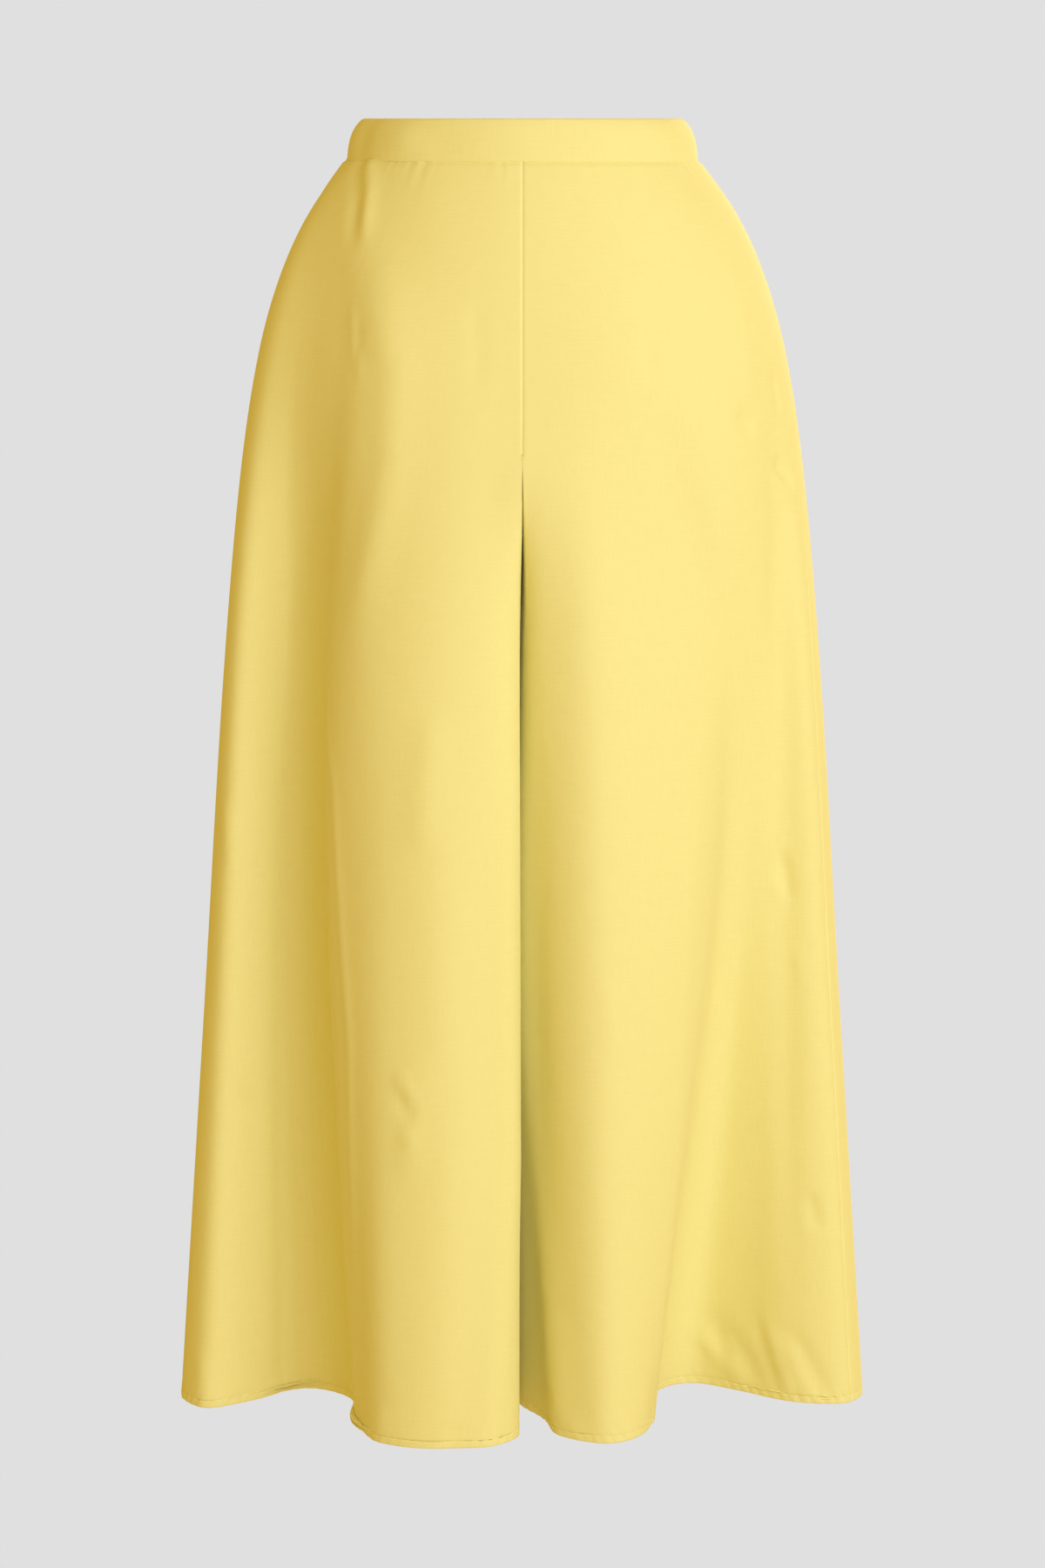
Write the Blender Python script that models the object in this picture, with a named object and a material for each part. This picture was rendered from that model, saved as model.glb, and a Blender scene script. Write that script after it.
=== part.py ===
"""Palazzo pants: wide high-waisted trousers of plain cotton poplin, filled out as worn.

Metres, +Z up, the front faces -Y and the wearer's left is at +X. The origin is the centre of the
waist ring at half the waistband's height. Each piece of cloth is a thin wall of its own: two front
panels, two back panels, a flat front waistband and a gathered back waistband.

A leg is drawn by its fold lines. Each line runs down the cloth from the waist seam to the hem, and
its row gives where it passes at the waist, the hip, the thigh and the hem. A ring of the leg is a
smooth curve through its lines at one height, and the panels are walls through those rings.
"""
import math
from collections import namedtuple

import bmesh
import bpy
from mathutils import Vector

# Driving dimensions, in metres. A drop is measured down from the waistband's top edge.
BAND_HEIGHT = 0.032
HIP_DROP = 0.170
SPLIT_DROP = 0.249
CROTCH_DROP = 0.305
THIGH_DROP = 0.400
LENGTH = 1.020
WAIST_HALF_WIDTH = 0.1355
WAIST_HALF_DEPTH = 0.0940
CLOTH_WALL = 0.0015
BAND_WALL = 0.0022
SEAM_GAP = 0.0003

# The band leans in towards its top edge, most of it in the last centimetre.
BAND_LEAN_SIDE = 0.0130
BAND_LEAN_FRONT = 0.0045
BAND_LEAN_REACH = 0.0105

# Gathers of the elasticated back.
BAND_GATHERS = 32
BAND_GATHER_DEPTH = 0.0011
COLUMNS_PER_GATHER = 4
PANEL_GATHER_DEPTH = 0.0022
PANEL_GATHER_END = 0.120

# Mesh density.
UPPER_RINGS = 8
LOWER_RINGS = 8
UPPER_RING_POWER = 1.5
LOWER_RING_POWER = 1.3
FRONT_COLUMNS_PER_SPAN = 3
BACK_COLUMNS_PER_SPAN = 4
INNER_COLUMNS = 5
BAND_RINGS = 3
BAND_FRONT_COLUMNS = 36

POPLIN_YELLOW = (0.86, 0.73, 0.24, 1.0)
POPLIN_ROUGHNESS = 0.82

# The figure that fills the cloth: how far it stands out at the side, the front and the back.
Ring = namedtuple("Ring", "drop half_width front back")
FIGURE = (
    Ring(0.032, 0.1362, 0.0945, 0.0945),
    Ring(0.053, 0.1529, 0.1010, 0.1020),
    Ring(0.080, 0.1702, 0.1070, 0.1100),
    Ring(0.119, 0.1875, 0.1135, 0.1190),
    Ring(0.170, 0.2026, 0.1190, 0.1270),
    Ring(0.254, 0.2174, 0.1235, 0.1310),
    Ring(0.400, 0.2325, 0.1270, 0.1330),
    Ring(0.700, 0.2541, 0.1300, 0.1400),
    Ring(1.020, 0.2770, 0.1320, 0.1500),
)

# A fold line: its angle round the waist from the side seam, then (across, out) at the hip, thigh
# and hem. Across is from the centre plane. Out is towards the front on a front panel and towards
# the back on a back panel. A line keeps its hip place down to the drop in `held`.
Line = namedtuple("Line", "name waist_deg hip thigh hem held", defaults=(HIP_DROP,))

RIGHT_FRONT = (
    Line("side seam", 0, (0.1995, -0.012), (0.2290, -0.014), (0.2725, -0.016)),
    Line("side ridge", 7, (0.2026, 0.010), (0.2325, 0.008), (0.2770, 0.006)),
    Line("ridge face", 13, (0.1940, 0.033), (0.2200, 0.031), (0.2545, 0.035)),
    Line("shelf", 17, (0.1800, 0.043), (0.1960, 0.024), (0.2130, 0.013)),
    Line("valley", 21, (0.1630, 0.056), (0.1730, 0.022), (0.1720, -0.014)),
    Line("fold wall", 24, (0.1410, 0.077), (0.1540, 0.042), (0.1385, 0.012)),
    Line("fold edge", 28, (0.1170, 0.100), (0.1475, 0.078), (0.1335, 0.077)),
    Line("shoulder", 37, (0.0900, 0.112), (0.1230, 0.107), (0.1100, 0.120)),
    Line("crest", 58, (0.0500, 0.118), (0.0660, 0.127), (0.0580, 0.132)),
    Line("inner face", 79, (0.0170, 0.119), (0.0200, 0.121), (0.0140, 0.119), SPLIT_DROP),
    Line("centre", 90, (0.0000, 0.119), (0.0018, 0.104), (0.0012, 0.100), SPLIT_DROP),
)
LEFT_FRONT = (
    Line("side seam", 0, (0.2015, 0.004), (0.2260, 0.020), (0.2655, 0.020)),
    Line("side ridge", 7, (0.1970, 0.022), (0.2190, 0.029), (0.2520, 0.025)),
    Line("side dip", 13, (0.1860, 0.042), (0.2010, 0.034), (0.2140, 0.018)),
    Line("outer swell", 20, (0.1680, 0.064), (0.1850, 0.046), (0.1740, -0.010)),
    Line("valley", 28, (0.1450, 0.083), (0.1720, 0.055), (0.1360, -0.029)),
    Line("fold wall", 35, (0.1240, 0.096), (0.1590, 0.064), (0.1085, -0.006)),
    Line("fold edge", 44, (0.1000, 0.106), (0.1450, 0.074), (0.1035, 0.074)),
    Line("shoulder", 56, (0.0720, 0.114), (0.1100, 0.098), (0.0900, 0.107)),
    Line("crest", 68, (0.0430, 0.118), (0.0520, 0.122), (0.0650, 0.122)),
    Line("inner face", 79, (0.0190, 0.119), (0.0230, 0.114), (0.0330, 0.101), SPLIT_DROP),
    Line("inner turn", 85, (0.0080, 0.119), (0.0090, 0.104), (0.0150, 0.058), SPLIT_DROP),
    Line("centre", 90, (0.0000, 0.119), (0.0022, 0.088), (0.0030, 0.022), SPLIT_DROP),
)
RIGHT_BACK = (
    Line("side seam", 0, (0.1995, 0.012), (0.2290, 0.014), (0.2725, 0.016)),
    Line("side turn", 9, (0.1930, 0.038), (0.2210, 0.040), (0.2640, 0.046)),
    Line("side valley", 19, (0.1760, 0.065), (0.1960, 0.060), (0.2260, 0.052)),
    Line("seat side", 31, (0.1470, 0.094), (0.1640, 0.088), (0.1880, 0.074)),
    Line("back fold", 44, (0.1120, 0.115), (0.1310, 0.116), (0.1520, 0.126)),
    Line("fold crest", 57, (0.0780, 0.126), (0.0930, 0.130), (0.1100, 0.150)),
    Line("soft valley", 69, (0.0470, 0.128), (0.0560, 0.127), (0.0680, 0.124)),
    Line("inner face", 81, (0.0180, 0.127), (0.0210, 0.121), (0.0240, 0.128), SPLIT_DROP),
    Line("centre", 90, (0.0000, 0.126), (0.0020, 0.098), (0.0020, 0.096), SPLIT_DROP),
)
LEFT_BACK = (
    Line("side seam", 0, (0.2015, -0.004), (0.2260, -0.020), (0.2655, -0.020)),
    Line("side turn", 8, (0.2020, 0.018), (0.2325, 0.008), (0.2770, 0.008)),
    Line("side back", 17, (0.1830, 0.056), (0.2180, 0.048), (0.2580, 0.050)),
    Line("side fold", 29, (0.1530, 0.090), (0.1830, 0.082), (0.2130, 0.090)),
    Line("side valley", 41, (0.1220, 0.111), (0.1450, 0.104), (0.1690, 0.082)),
    Line("fold crest", 54, (0.0880, 0.123), (0.1060, 0.127), (0.1210, 0.145)),
    Line("soft valley", 67, (0.0530, 0.128), (0.0680, 0.131), (0.0740, 0.140)),
    Line("inner face", 80, (0.0200, 0.127), (0.0230, 0.119), (0.0260, 0.113), SPLIT_DROP),
    Line("centre", 90, (0.0000, 0.126), (0.0022, 0.094), (0.0030, 0.078), SPLIT_DROP),
)

FRONT, BACK = -1.0, 1.0
RIGHT, LEFT = -1.0, 1.0

# The inseam from the crotch point down: (across, towards the front). It swings with the folds.
INSEAM_CROTCH = (0.0, 0.015)
INSEAM_HEM = {RIGHT: (0.0045, 0.025), LEFT: (0.0045, -0.035)}
INSEAM_OPENS_IN = 0.080

# Behind the front folds the parting between the legs lies a little to the wearer's right, so the
# left leg closes the sight between them. It shifts over this stretch of depth (y).
PARTING_SHIFT = -0.007
PARTING_FROM = -0.104
PARTING_TO = -0.056


def clear_scene():
    """Remove every object of the open file."""
    for old in list(bpy.data.objects):
        bpy.data.objects.remove(old, do_unlink=True)


def smoothstep(value):
    """Ease from 0 to 1."""
    value = min(max(value, 0.0), 1.0)
    return value * value * (3.0 - 2.0 * value)


def mix(start, end, share):
    """Blend two numbers."""
    return start + (end - start) * share


def monotone(knots, values, place):
    """Smooth curve through the knots that never swings past them (a monotone cubic)."""
    last = len(knots) - 1
    place = min(max(place, knots[0]), knots[last])
    steps = [knots[i + 1] - knots[i] for i in range(last)]
    slopes = [(values[i + 1] - values[i]) / steps[i] for i in range(last)]
    tangents = [slopes[0]]
    for i in range(1, last):
        before, after = slopes[i - 1], slopes[i]
        if before * after <= 0.0:
            tangents.append(0.0)
            continue
        weight_a = 2.0 * steps[i] + steps[i - 1]
        weight_b = steps[i] + 2.0 * steps[i - 1]
        tangents.append((weight_a + weight_b) / (weight_a / before + weight_b / after))
    tangents.append(slopes[-1])
    span = 0
    while span < last - 1 and place > knots[span + 1]:
        span += 1
    share = (place - knots[span]) / steps[span]
    square = share * share
    cube = square * share
    return (
        values[span] * (2.0 * cube - 3.0 * square + 1.0)
        + tangents[span] * steps[span] * (cube - 2.0 * square + share)
        + values[span + 1] * (3.0 * square - 2.0 * cube)
        + tangents[span + 1] * steps[span] * (cube - square)
    )


def figure(column, drop):
    """One size of the figure at a drop: half_width, front or back."""
    knots = [ring.drop for ring in FIGURE]
    values = [getattr(ring, column) for ring in FIGURE]
    return monotone(knots, values, drop)


def line_place(line, drop, side, facing):
    """Where a fold line passes at a drop, as (x, y)."""
    depth_name = "front" if facing == FRONT else "back"
    waist_angle = math.radians(line.waist_deg)
    knots = [BAND_HEIGHT, HIP_DROP, THIGH_DROP, LENGTH]
    places = [(math.cos(waist_angle), math.sin(waist_angle))]
    for level, place in zip(knots[1:], (line.hip, line.thigh, line.hem)):
        across = place[0] / figure("half_width", level)
        out = place[1] / figure(depth_name, level)
        places.append((across, out))
    if line.held > HIP_DROP:
        knots.insert(2, line.held)
        places.insert(2, places[1])
    across = monotone(knots, [place[0] for place in places], drop)
    out = monotone(knots, [place[1] for place in places], drop)
    x = side * across * figure("half_width", drop)
    y = facing * out * figure(depth_name, drop)
    return x, y


def catmull_rom(before, start, end, after, share):
    """Centripetal Catmull-Rom curve between start and end, in the plane of a ring."""
    knots = [0.0]
    points = (before, start, end, after)
    for near, far in zip(points, points[1:]):
        knots.append(knots[-1] + max(math.sqrt(math.dist(near, far)), 1e-4))
    place = mix(knots[1], knots[2], share)

    def blend(a, b, low, high):
        weight = (place - knots[low]) / (knots[high] - knots[low])
        return (mix(a[0], b[0], weight), mix(a[1], b[1], weight))

    first = blend(before, start, 0, 1)
    second = blend(start, end, 1, 2)
    third = blend(end, after, 2, 3)
    fourth = blend(first, second, 0, 2)
    fifth = blend(second, third, 1, 3)
    return blend(fourth, fifth, 1, 2)


def split_opening(drop):
    """0 where the legs are joined at the centre, 1 where they hang apart."""
    return smoothstep((drop - SPLIT_DROP) / (CROTCH_DROP - SPLIT_DROP))


def parting(y, drop):
    """Where the legs part at a depth and a drop: 0 is the centre plane."""
    back_share = smoothstep((y - PARTING_FROM) / (PARTING_TO - PARTING_FROM))
    fall_share = smoothstep((drop - SPLIT_DROP) / (THIGH_DROP - SPLIT_DROP))
    return PARTING_SHIFT * back_share * fall_share


def inner_place(across, y, drop, side):
    """A point of a leg's inner face: its clearance across is measured from the parting."""
    clearance = max(across, 0.5 * SEAM_GAP)
    return side * clearance + parting(y, drop), y


def inseam_place(drop, side):
    """Where the inseam passes at a drop, as (across, y)."""
    share = smoothstep((drop - CROTCH_DROP) / INSEAM_OPENS_IN)
    fall = max((drop - CROTCH_DROP) / (LENGTH - CROTCH_DROP), 0.0)
    hem = INSEAM_HEM[side]
    across = mix(INSEAM_CROTCH[0], hem[0], 0.5 * share + 0.5 * fall)
    forward = mix(INSEAM_CROTCH[1], hem[1], fall)
    return across, FRONT * forward


def panel_ring(lines, neighbour, drop, side, facing, columns_per_span):
    """Points of a panel at one drop, from the side seam to the centre."""
    points = [line_place(line, drop, side, facing) for line in lines]
    centre_x, centre_y = points[-1]
    points[-1] = inner_place(side * centre_x, centre_y, drop, side)
    before = line_place(neighbour, drop, side, -facing)
    mirrored = (-points[-2][0], points[-2][1])
    inseam = inner_place(*inseam_place(drop, side), drop, side)
    opening = split_opening(drop)
    after = (mix(mirrored[0], inseam[0], opening), mix(mirrored[1], inseam[1], opening))
    chain = [before] + points + [after]
    ring = []
    for span in range(len(points) - 1):
        for step in range(columns_per_span):
            ring.append(catmull_rom(*chain[span:span + 4], step / columns_per_span))
    ring.append(points[-1])
    return ring


def ring_drops():
    """Drops of the rings of a leg, close together below the waist and at the split."""
    top = BAND_HEIGHT + SEAM_GAP
    drops = []
    for i in range(UPPER_RINGS):
        drops.append(mix(top, SPLIT_DROP, (i / UPPER_RINGS) ** UPPER_RING_POWER))
    for i in range(LOWER_RINGS + 1):
        drops.append(mix(SPLIT_DROP, LENGTH, (i / LOWER_RINGS) ** LOWER_RING_POWER))
    return drops


def to_point(x, y, drop):
    """A point of the part from its plan place and its drop."""
    return Vector((x, y, 0.5 * BAND_HEIGHT - drop))


def gather_offset(column, drop):
    """How far a gather stands out of a back panel just below the waistband."""
    fade = 1.0 - smoothstep((drop - BAND_HEIGHT) / (PANEL_GATHER_END - BAND_HEIGHT))
    return PANEL_GATHER_DEPTH * fade * math.cos(2.0 * math.pi * column / COLUMNS_PER_GATHER)


def panel_points(lines, neighbour, side, facing):
    """Outer points of a panel, keyed by block, ring and column.

    The outer block runs from the side seam to the centre. The inner block turns back from there
    to the inseam. It starts on the crotch curve and is missing above it.
    """
    drops = ring_drops()
    per_span = FRONT_COLUMNS_PER_SPAN if facing == FRONT else BACK_COLUMNS_PER_SPAN
    last_column = per_span * (len(lines) - 1)
    points = {}
    for row, drop in enumerate(drops):
        ring = panel_ring(lines, neighbour, drop, side, facing, per_span)
        for column, (x, y) in enumerate(ring):
            if facing == BACK and 0 < column < last_column - 1:
                outward = Vector((x, y)).normalized()
                swell = gather_offset(column, drop)
                x, y = x + outward.x * swell, y + outward.y * swell
            points["outer", row, column] = to_point(x, y, drop)
    corner = lines[-1]
    for column in range(1, INNER_COLUMNS + 1):
        share = column / INNER_COLUMNS
        curve = math.sqrt(1.0 - (1.0 - share) ** 2)
        top = mix(SPLIT_DROP, CROTCH_DROP, curve)
        for row in range(UPPER_RINGS, len(drops)):
            fall = (drops[row] - SPLIT_DROP) / (LENGTH - SPLIT_DROP)
            drop = mix(top, LENGTH, fall)
            near_x, near_y = line_place(corner, drop, side, facing)
            far_across, far_y = inseam_place(drop, side)
            apart = smoothstep((drop - top) / INSEAM_OPENS_IN)
            across = apart * mix(side * near_x, far_across, share)
            x, y = inner_place(across, mix(near_y, far_y, share), drop, side)
            points["inner", row, column] = to_point(x, y, drop)
    return points, last_column


def panel_faces(last_column):
    """Quads of a panel as lists of point keys."""
    last_row = UPPER_RINGS + LOWER_RINGS
    quads = []
    for row in range(last_row):
        for column in range(last_column):
            quads.append([
                ("outer", row, column),
                ("outer", row, column + 1),
                ("outer", row + 1, column + 1),
                ("outer", row + 1, column),
            ])
    for row in range(UPPER_RINGS, last_row):
        for column in range(INNER_COLUMNS):
            quads.append([
                inner_key(row, column, last_column),
                inner_key(row, column + 1, last_column),
                inner_key(row + 1, column + 1, last_column),
                inner_key(row + 1, column, last_column),
            ])
    return quads


def inner_key(row, column, last_column):
    """Key of an inner block's point; its first column is the outer block's last."""
    if column == 0:
        return ("outer", row, last_column)
    return ("inner", row, column)


def shared_key(key, facing):
    """Key of a point within its leg, where both panels share the side seam and the inseam."""
    block, row, column = key
    if block == "outer" and column == 0:
        return ("side seam", row)
    if block == "inner" and column == INNER_COLUMNS:
        return ("inseam", row)
    return (facing,) + key


def leg_normals(panels, side):
    """Outward normal at every point of a leg, smooth across its seams."""
    totals = {}
    for facing, (points, quads) in panels.items():
        for quad in quads:
            corners = [points[key] for key in quad]
            normal = (corners[2] - corners[0]).cross(corners[3] - corners[1])
            if side * facing > 0.0:
                normal.negate()
            for key in quad:
                name = shared_key(key, facing)
                totals[name] = totals.get(name, Vector((0.0, 0.0, 0.0))) + normal
    return totals


def wall_object(name, outer, normals, quads, thickness):
    """A closed wall: the outer skin, the same skin moved in, and a rim between them."""
    mesh_data = bmesh.new()
    outer_verts = {}
    inner_verts = {}
    for key, point in outer.items():
        outer_verts[key] = mesh_data.verts.new(point)
        inner_verts[key] = mesh_data.verts.new(point - normals[key].normalized() * thickness)
    edge_uses = {}
    for quad in quads:
        mesh_data.faces.new([outer_verts[key] for key in quad])
        mesh_data.faces.new([inner_verts[key] for key in reversed(quad)])
        for start, end in zip(quad, quad[1:] + quad[:1]):
            edge = frozenset((start, end))
            edge_uses.setdefault(edge, []).append((start, end))
    for uses in edge_uses.values():
        if len(uses) == 1:
            start, end = uses[0]
            mesh_data.faces.new([
                outer_verts[end],
                outer_verts[start],
                inner_verts[start],
                inner_verts[end],
            ])
    bmesh.ops.recalc_face_normals(mesh_data, faces=mesh_data.faces)
    mesh = bpy.data.meshes.new(name)
    mesh_data.to_mesh(mesh)
    mesh_data.free()
    mesh.shade_smooth()
    mesh.set_sharp_from_angle(angle=math.radians(60.0))
    mesh.materials.append(poplin(name))
    wall = bpy.data.objects.new(name, mesh)
    bpy.context.scene.collection.objects.link(wall)
    return wall


def poplin(name):
    """Plain yellow cotton poplin."""
    material = bpy.data.materials.new(name + "_poplin")
    material.use_nodes = True
    surface = material.node_tree.nodes["Principled BSDF"]
    surface.inputs["Base Color"].default_value = POPLIN_YELLOW
    surface.inputs["Roughness"].default_value = POPLIN_ROUGHNESS
    surface.inputs["Metallic"].default_value = 0.0
    material.diffuse_color = POPLIN_YELLOW
    return material


def open_seams(points, last_column):
    """Pull a panel back by half the seam gap along its side seam and its inseam."""
    opened = dict(points)
    for key, point in points.items():
        block, row, column = key
        if block == "outer" and column == 0:
            inward = points["outer", row, 1] - point
        elif block == "inner" and column == INNER_COLUMNS:
            inward = points[inner_key(row, column - 1, last_column)] - point
        else:
            continue
        opened[key] = point + inward.normalized() * 0.5 * SEAM_GAP
    return opened


def build_leg(leg_name, side, front_lines, back_lines):
    """The front panel and the back panel of one leg."""
    panels = {}
    last_columns = {}
    for facing, lines, other in ((FRONT, front_lines, back_lines), (BACK, back_lines, front_lines)):
        points, last_column = panel_points(lines, other[1], side, facing)
        panels[facing] = (points, panel_faces(last_column))
        last_columns[facing] = last_column
    totals = leg_normals(panels, side)
    for facing, name in ((FRONT, leg_name + "_front"), (BACK, leg_name + "_back")):
        points, quads = panels[facing]
        normals = {}
        for key in points:
            normal = totals[shared_key(key, facing)].copy()
            block, row, column = key
            if block == "outer" and column == last_columns[facing] and row < UPPER_RINGS:
                normal.x = 0.0
            normals[key] = normal
        opened = open_seams(points, last_columns[facing])
        wall_object(name, opened, normals, quads, CLOTH_WALL)


def band_place(angle, drop, swell):
    """A point of the waistband; the angle runs from the wearer's left side over the back."""
    lean = 1.0 - math.exp(-drop / BAND_LEAN_REACH)
    half_width = WAIST_HALF_WIDTH - BAND_LEAN_SIDE * (1.0 - lean) + swell
    half_depth = WAIST_HALF_DEPTH - BAND_LEAN_FRONT * (1.0 - lean) + swell
    return to_point(half_width * math.cos(angle), half_depth * math.sin(angle), drop)


def build_band(name, facing, columns, gathers):
    """One half of the waistband, from side seam to side seam."""
    points = {}
    seam_angle = 0.5 * SEAM_GAP / WAIST_HALF_DEPTH
    for row in range(BAND_RINGS + 1):
        drop = BAND_HEIGHT * row / BAND_RINGS
        for column in range(columns + 1):
            angle = mix(seam_angle, math.pi - seam_angle, column / columns)
            edge = min(column, columns - column) / COLUMNS_PER_GATHER
            wave = math.cos(2.0 * math.pi * gathers * column / columns)
            swell = BAND_GATHER_DEPTH * wave * min(edge, 1.0) if gathers else 0.0
            point = band_place(angle, drop, swell)
            points["outer", row, column] = Vector((point.x, facing * point.y, point.z))
    quads = []
    normals = {key: Vector((0.0, 0.0, 0.0)) for key in points}
    for row in range(BAND_RINGS):
        for column in range(columns):
            quad = [
                ("outer", row, column),
                ("outer", row, column + 1),
                ("outer", row + 1, column + 1),
                ("outer", row + 1, column),
            ]
            corners = [points[key] for key in quad]
            normal = (corners[2] - corners[0]).cross(corners[3] - corners[1])
            if normal.dot(Vector((corners[0].x, corners[0].y, 0.0))) < 0.0:
                normal.negate()
            for key in quad:
                normals[key] += normal
            quads.append(quad)
    for key, normal in normals.items():
        if key[2] in (0, columns):
            normal.y = 0.0
        if key[1] in (0, BAND_RINGS):
            normal.z = 0.0
    wall_object(name, points, normals, quads, BAND_WALL)


def main():
    clear_scene()
    build_band("waistband_front", FRONT, BAND_FRONT_COLUMNS, 0)
    build_band("waistband_back", BACK, BAND_GATHERS * COLUMNS_PER_GATHER, BAND_GATHERS)
    build_leg("right_leg", RIGHT, RIGHT_FRONT, RIGHT_BACK)
    build_leg("left_leg", LEFT, LEFT_FRONT, LEFT_BACK)


main()
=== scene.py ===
"""Palazzo pants: the fine cloth, its hems and stitches, the poplin, and a plain studio.

Metres, +Z up. The front faces -Y and the wearer's left is at +X. Each solid panel of the frame is
replaced by a thin shell of cloth on the same form. A leg is drawn by its fold lines: each line
runs down the cloth from the waist seam to the hem, and a ring of the leg is a smooth curve
through its lines at one height. Seams, creases and puckers are then pressed into the shells.
"""

import copy
import math
from collections import namedtuple

import bmesh
import bpy
import numpy as np
from bpy.props import FloatProperty, FloatVectorProperty, PointerProperty
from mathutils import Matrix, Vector, noise


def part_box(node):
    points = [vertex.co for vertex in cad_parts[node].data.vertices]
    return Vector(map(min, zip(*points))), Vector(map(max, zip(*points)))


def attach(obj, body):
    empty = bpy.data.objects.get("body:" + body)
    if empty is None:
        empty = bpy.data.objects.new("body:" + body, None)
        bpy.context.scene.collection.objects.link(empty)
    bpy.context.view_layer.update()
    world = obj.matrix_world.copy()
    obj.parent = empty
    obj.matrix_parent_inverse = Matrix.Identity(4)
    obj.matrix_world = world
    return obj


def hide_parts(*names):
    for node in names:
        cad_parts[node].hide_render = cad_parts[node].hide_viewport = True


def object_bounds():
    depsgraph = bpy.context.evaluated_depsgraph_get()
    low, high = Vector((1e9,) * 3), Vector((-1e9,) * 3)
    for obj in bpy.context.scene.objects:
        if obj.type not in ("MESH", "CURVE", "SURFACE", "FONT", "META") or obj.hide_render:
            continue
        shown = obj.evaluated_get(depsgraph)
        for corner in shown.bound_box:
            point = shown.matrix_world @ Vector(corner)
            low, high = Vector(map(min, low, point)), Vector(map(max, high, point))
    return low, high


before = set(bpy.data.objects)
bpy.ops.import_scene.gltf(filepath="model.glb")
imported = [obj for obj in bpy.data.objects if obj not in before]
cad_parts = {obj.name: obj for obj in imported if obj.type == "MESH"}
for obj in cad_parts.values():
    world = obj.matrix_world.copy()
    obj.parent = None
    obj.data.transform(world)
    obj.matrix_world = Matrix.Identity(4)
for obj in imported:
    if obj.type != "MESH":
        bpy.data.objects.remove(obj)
CAD_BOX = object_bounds()

bl_info = {
    "name": "Palazzo Pants",
    "version": (1, 0, 0),
    "blender": (4, 5, 0),
    "location": "View3D > Sidebar > Palazzo Pants",
    "description": "Builds the cloth, hems, stitches and studio of a pair of palazzo pants",
    "category": "Object",
}

# Driving dimensions, read from the frame. A drop is measured down from the waistband's top edge.
BAND_FOOT, BAND_TOP = (corner.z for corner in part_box("waistband_front"))
TOP = BAND_TOP
BAND_HEIGHT = BAND_TOP - BAND_FOOT
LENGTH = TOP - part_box("left_leg_front")[0].z
HIP_DROP = LENGTH / 6.0
SPLIT_DROP = 0.249
CROTCH_DROP = 0.305
THIGH_DROP = 0.400
WAIST_HALF_WIDTH = 0.1355
WAIST_HALF_DEPTH = 0.0940
SEAM_GAP = 0.0001

# The band leans in towards its top edge, most of it in the last centimetre.
BAND_LEAN_SIDE = 0.0130
BAND_LEAN_FRONT = 0.0045
BAND_LEAN_REACH = 0.0105

FRONT, BACK = -1.0, 1.0
RIGHT, LEFT = -1.0, 1.0

# The figure that fills the cloth: how far it stands out at the side, the front and the back.
Ring = namedtuple("Ring", "drop half_width front back")
FIGURE = (
    Ring(0.032, 0.1362, 0.0945, 0.0945),
    Ring(0.053, 0.1529, 0.1010, 0.1020),
    Ring(0.080, 0.1702, 0.1070, 0.1100),
    Ring(0.119, 0.1875, 0.1135, 0.1190),
    Ring(0.170, 0.2026, 0.1190, 0.1270),
    Ring(0.254, 0.2174, 0.1235, 0.1310),
    Ring(0.400, 0.2325, 0.1270, 0.1330),
    Ring(0.700, 0.2541, 0.1300, 0.1400),
    Ring(1.020, 0.2770, 0.1320, 0.1500),
)

# A fold line: its angle round the waist from the side seam, then (across, out) in tenths of a
# millimetre at the hip, thigh and hem. Across is from the centre plane. Out is towards the front on
# a front panel and towards the back on a back panel. A line keeps its hip place down to the drop in
# `held`.
TENTHS = 10000.0
Line = namedtuple("Line", "name waist_deg hip thigh hem held", defaults=(HIP_DROP,))

RIGHT_FRONT = (
    Line("side seam", 0, (1995, -120), (2290, -140), (2725, -160)),
    Line("side ridge", 7, (2026, 100), (2325, 80), (2770, 60)),
    Line("ridge face", 13, (1940, 330), (2200, 310), (2545, 350)),
    Line("shelf", 17, (1800, 430), (1960, 240), (2130, 130)),
    Line("valley", 21, (1630, 560), (1730, 220), (1720, -140)),
    Line("fold wall", 24, (1410, 770), (1540, 420), (1385, 120)),
    Line("fold edge", 28, (1170, 1000), (1475, 780), (1335, 770)),
    Line("shoulder", 37, (900, 1120), (1230, 1070), (1100, 1200)),
    Line("crest", 58, (500, 1180), (660, 1270), (580, 1320)),
    Line("inner face", 79, (170, 1190), (200, 1210), (140, 1190), SPLIT_DROP),
    Line("centre", 90, (0, 1190), (18, 1040), (12, 1000), SPLIT_DROP),
)
LEFT_FRONT = (
    Line("side seam", 0, (2015, 40), (2260, 200), (2655, 200)),
    Line("side ridge", 7, (1970, 220), (2190, 290), (2520, 250)),
    Line("side dip", 13, (1860, 420), (2010, 340), (2140, 180)),
    Line("outer swell", 20, (1680, 640), (1850, 460), (1740, -100)),
    Line("valley", 28, (1450, 830), (1720, 550), (1360, -290)),
    Line("fold wall", 35, (1240, 960), (1590, 640), (1085, -60)),
    Line("fold edge", 44, (1000, 1060), (1450, 740), (1035, 740)),
    Line("shoulder", 56, (720, 1140), (1100, 980), (900, 1070)),
    Line("crest", 68, (430, 1180), (520, 1220), (650, 1220)),
    Line("inner face", 79, (190, 1190), (230, 1140), (330, 1010), SPLIT_DROP),
    Line("inner turn", 85, (80, 1190), (90, 1040), (150, 580), SPLIT_DROP),
    Line("centre", 90, (0, 1190), (22, 880), (30, 220), SPLIT_DROP),
)
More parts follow.
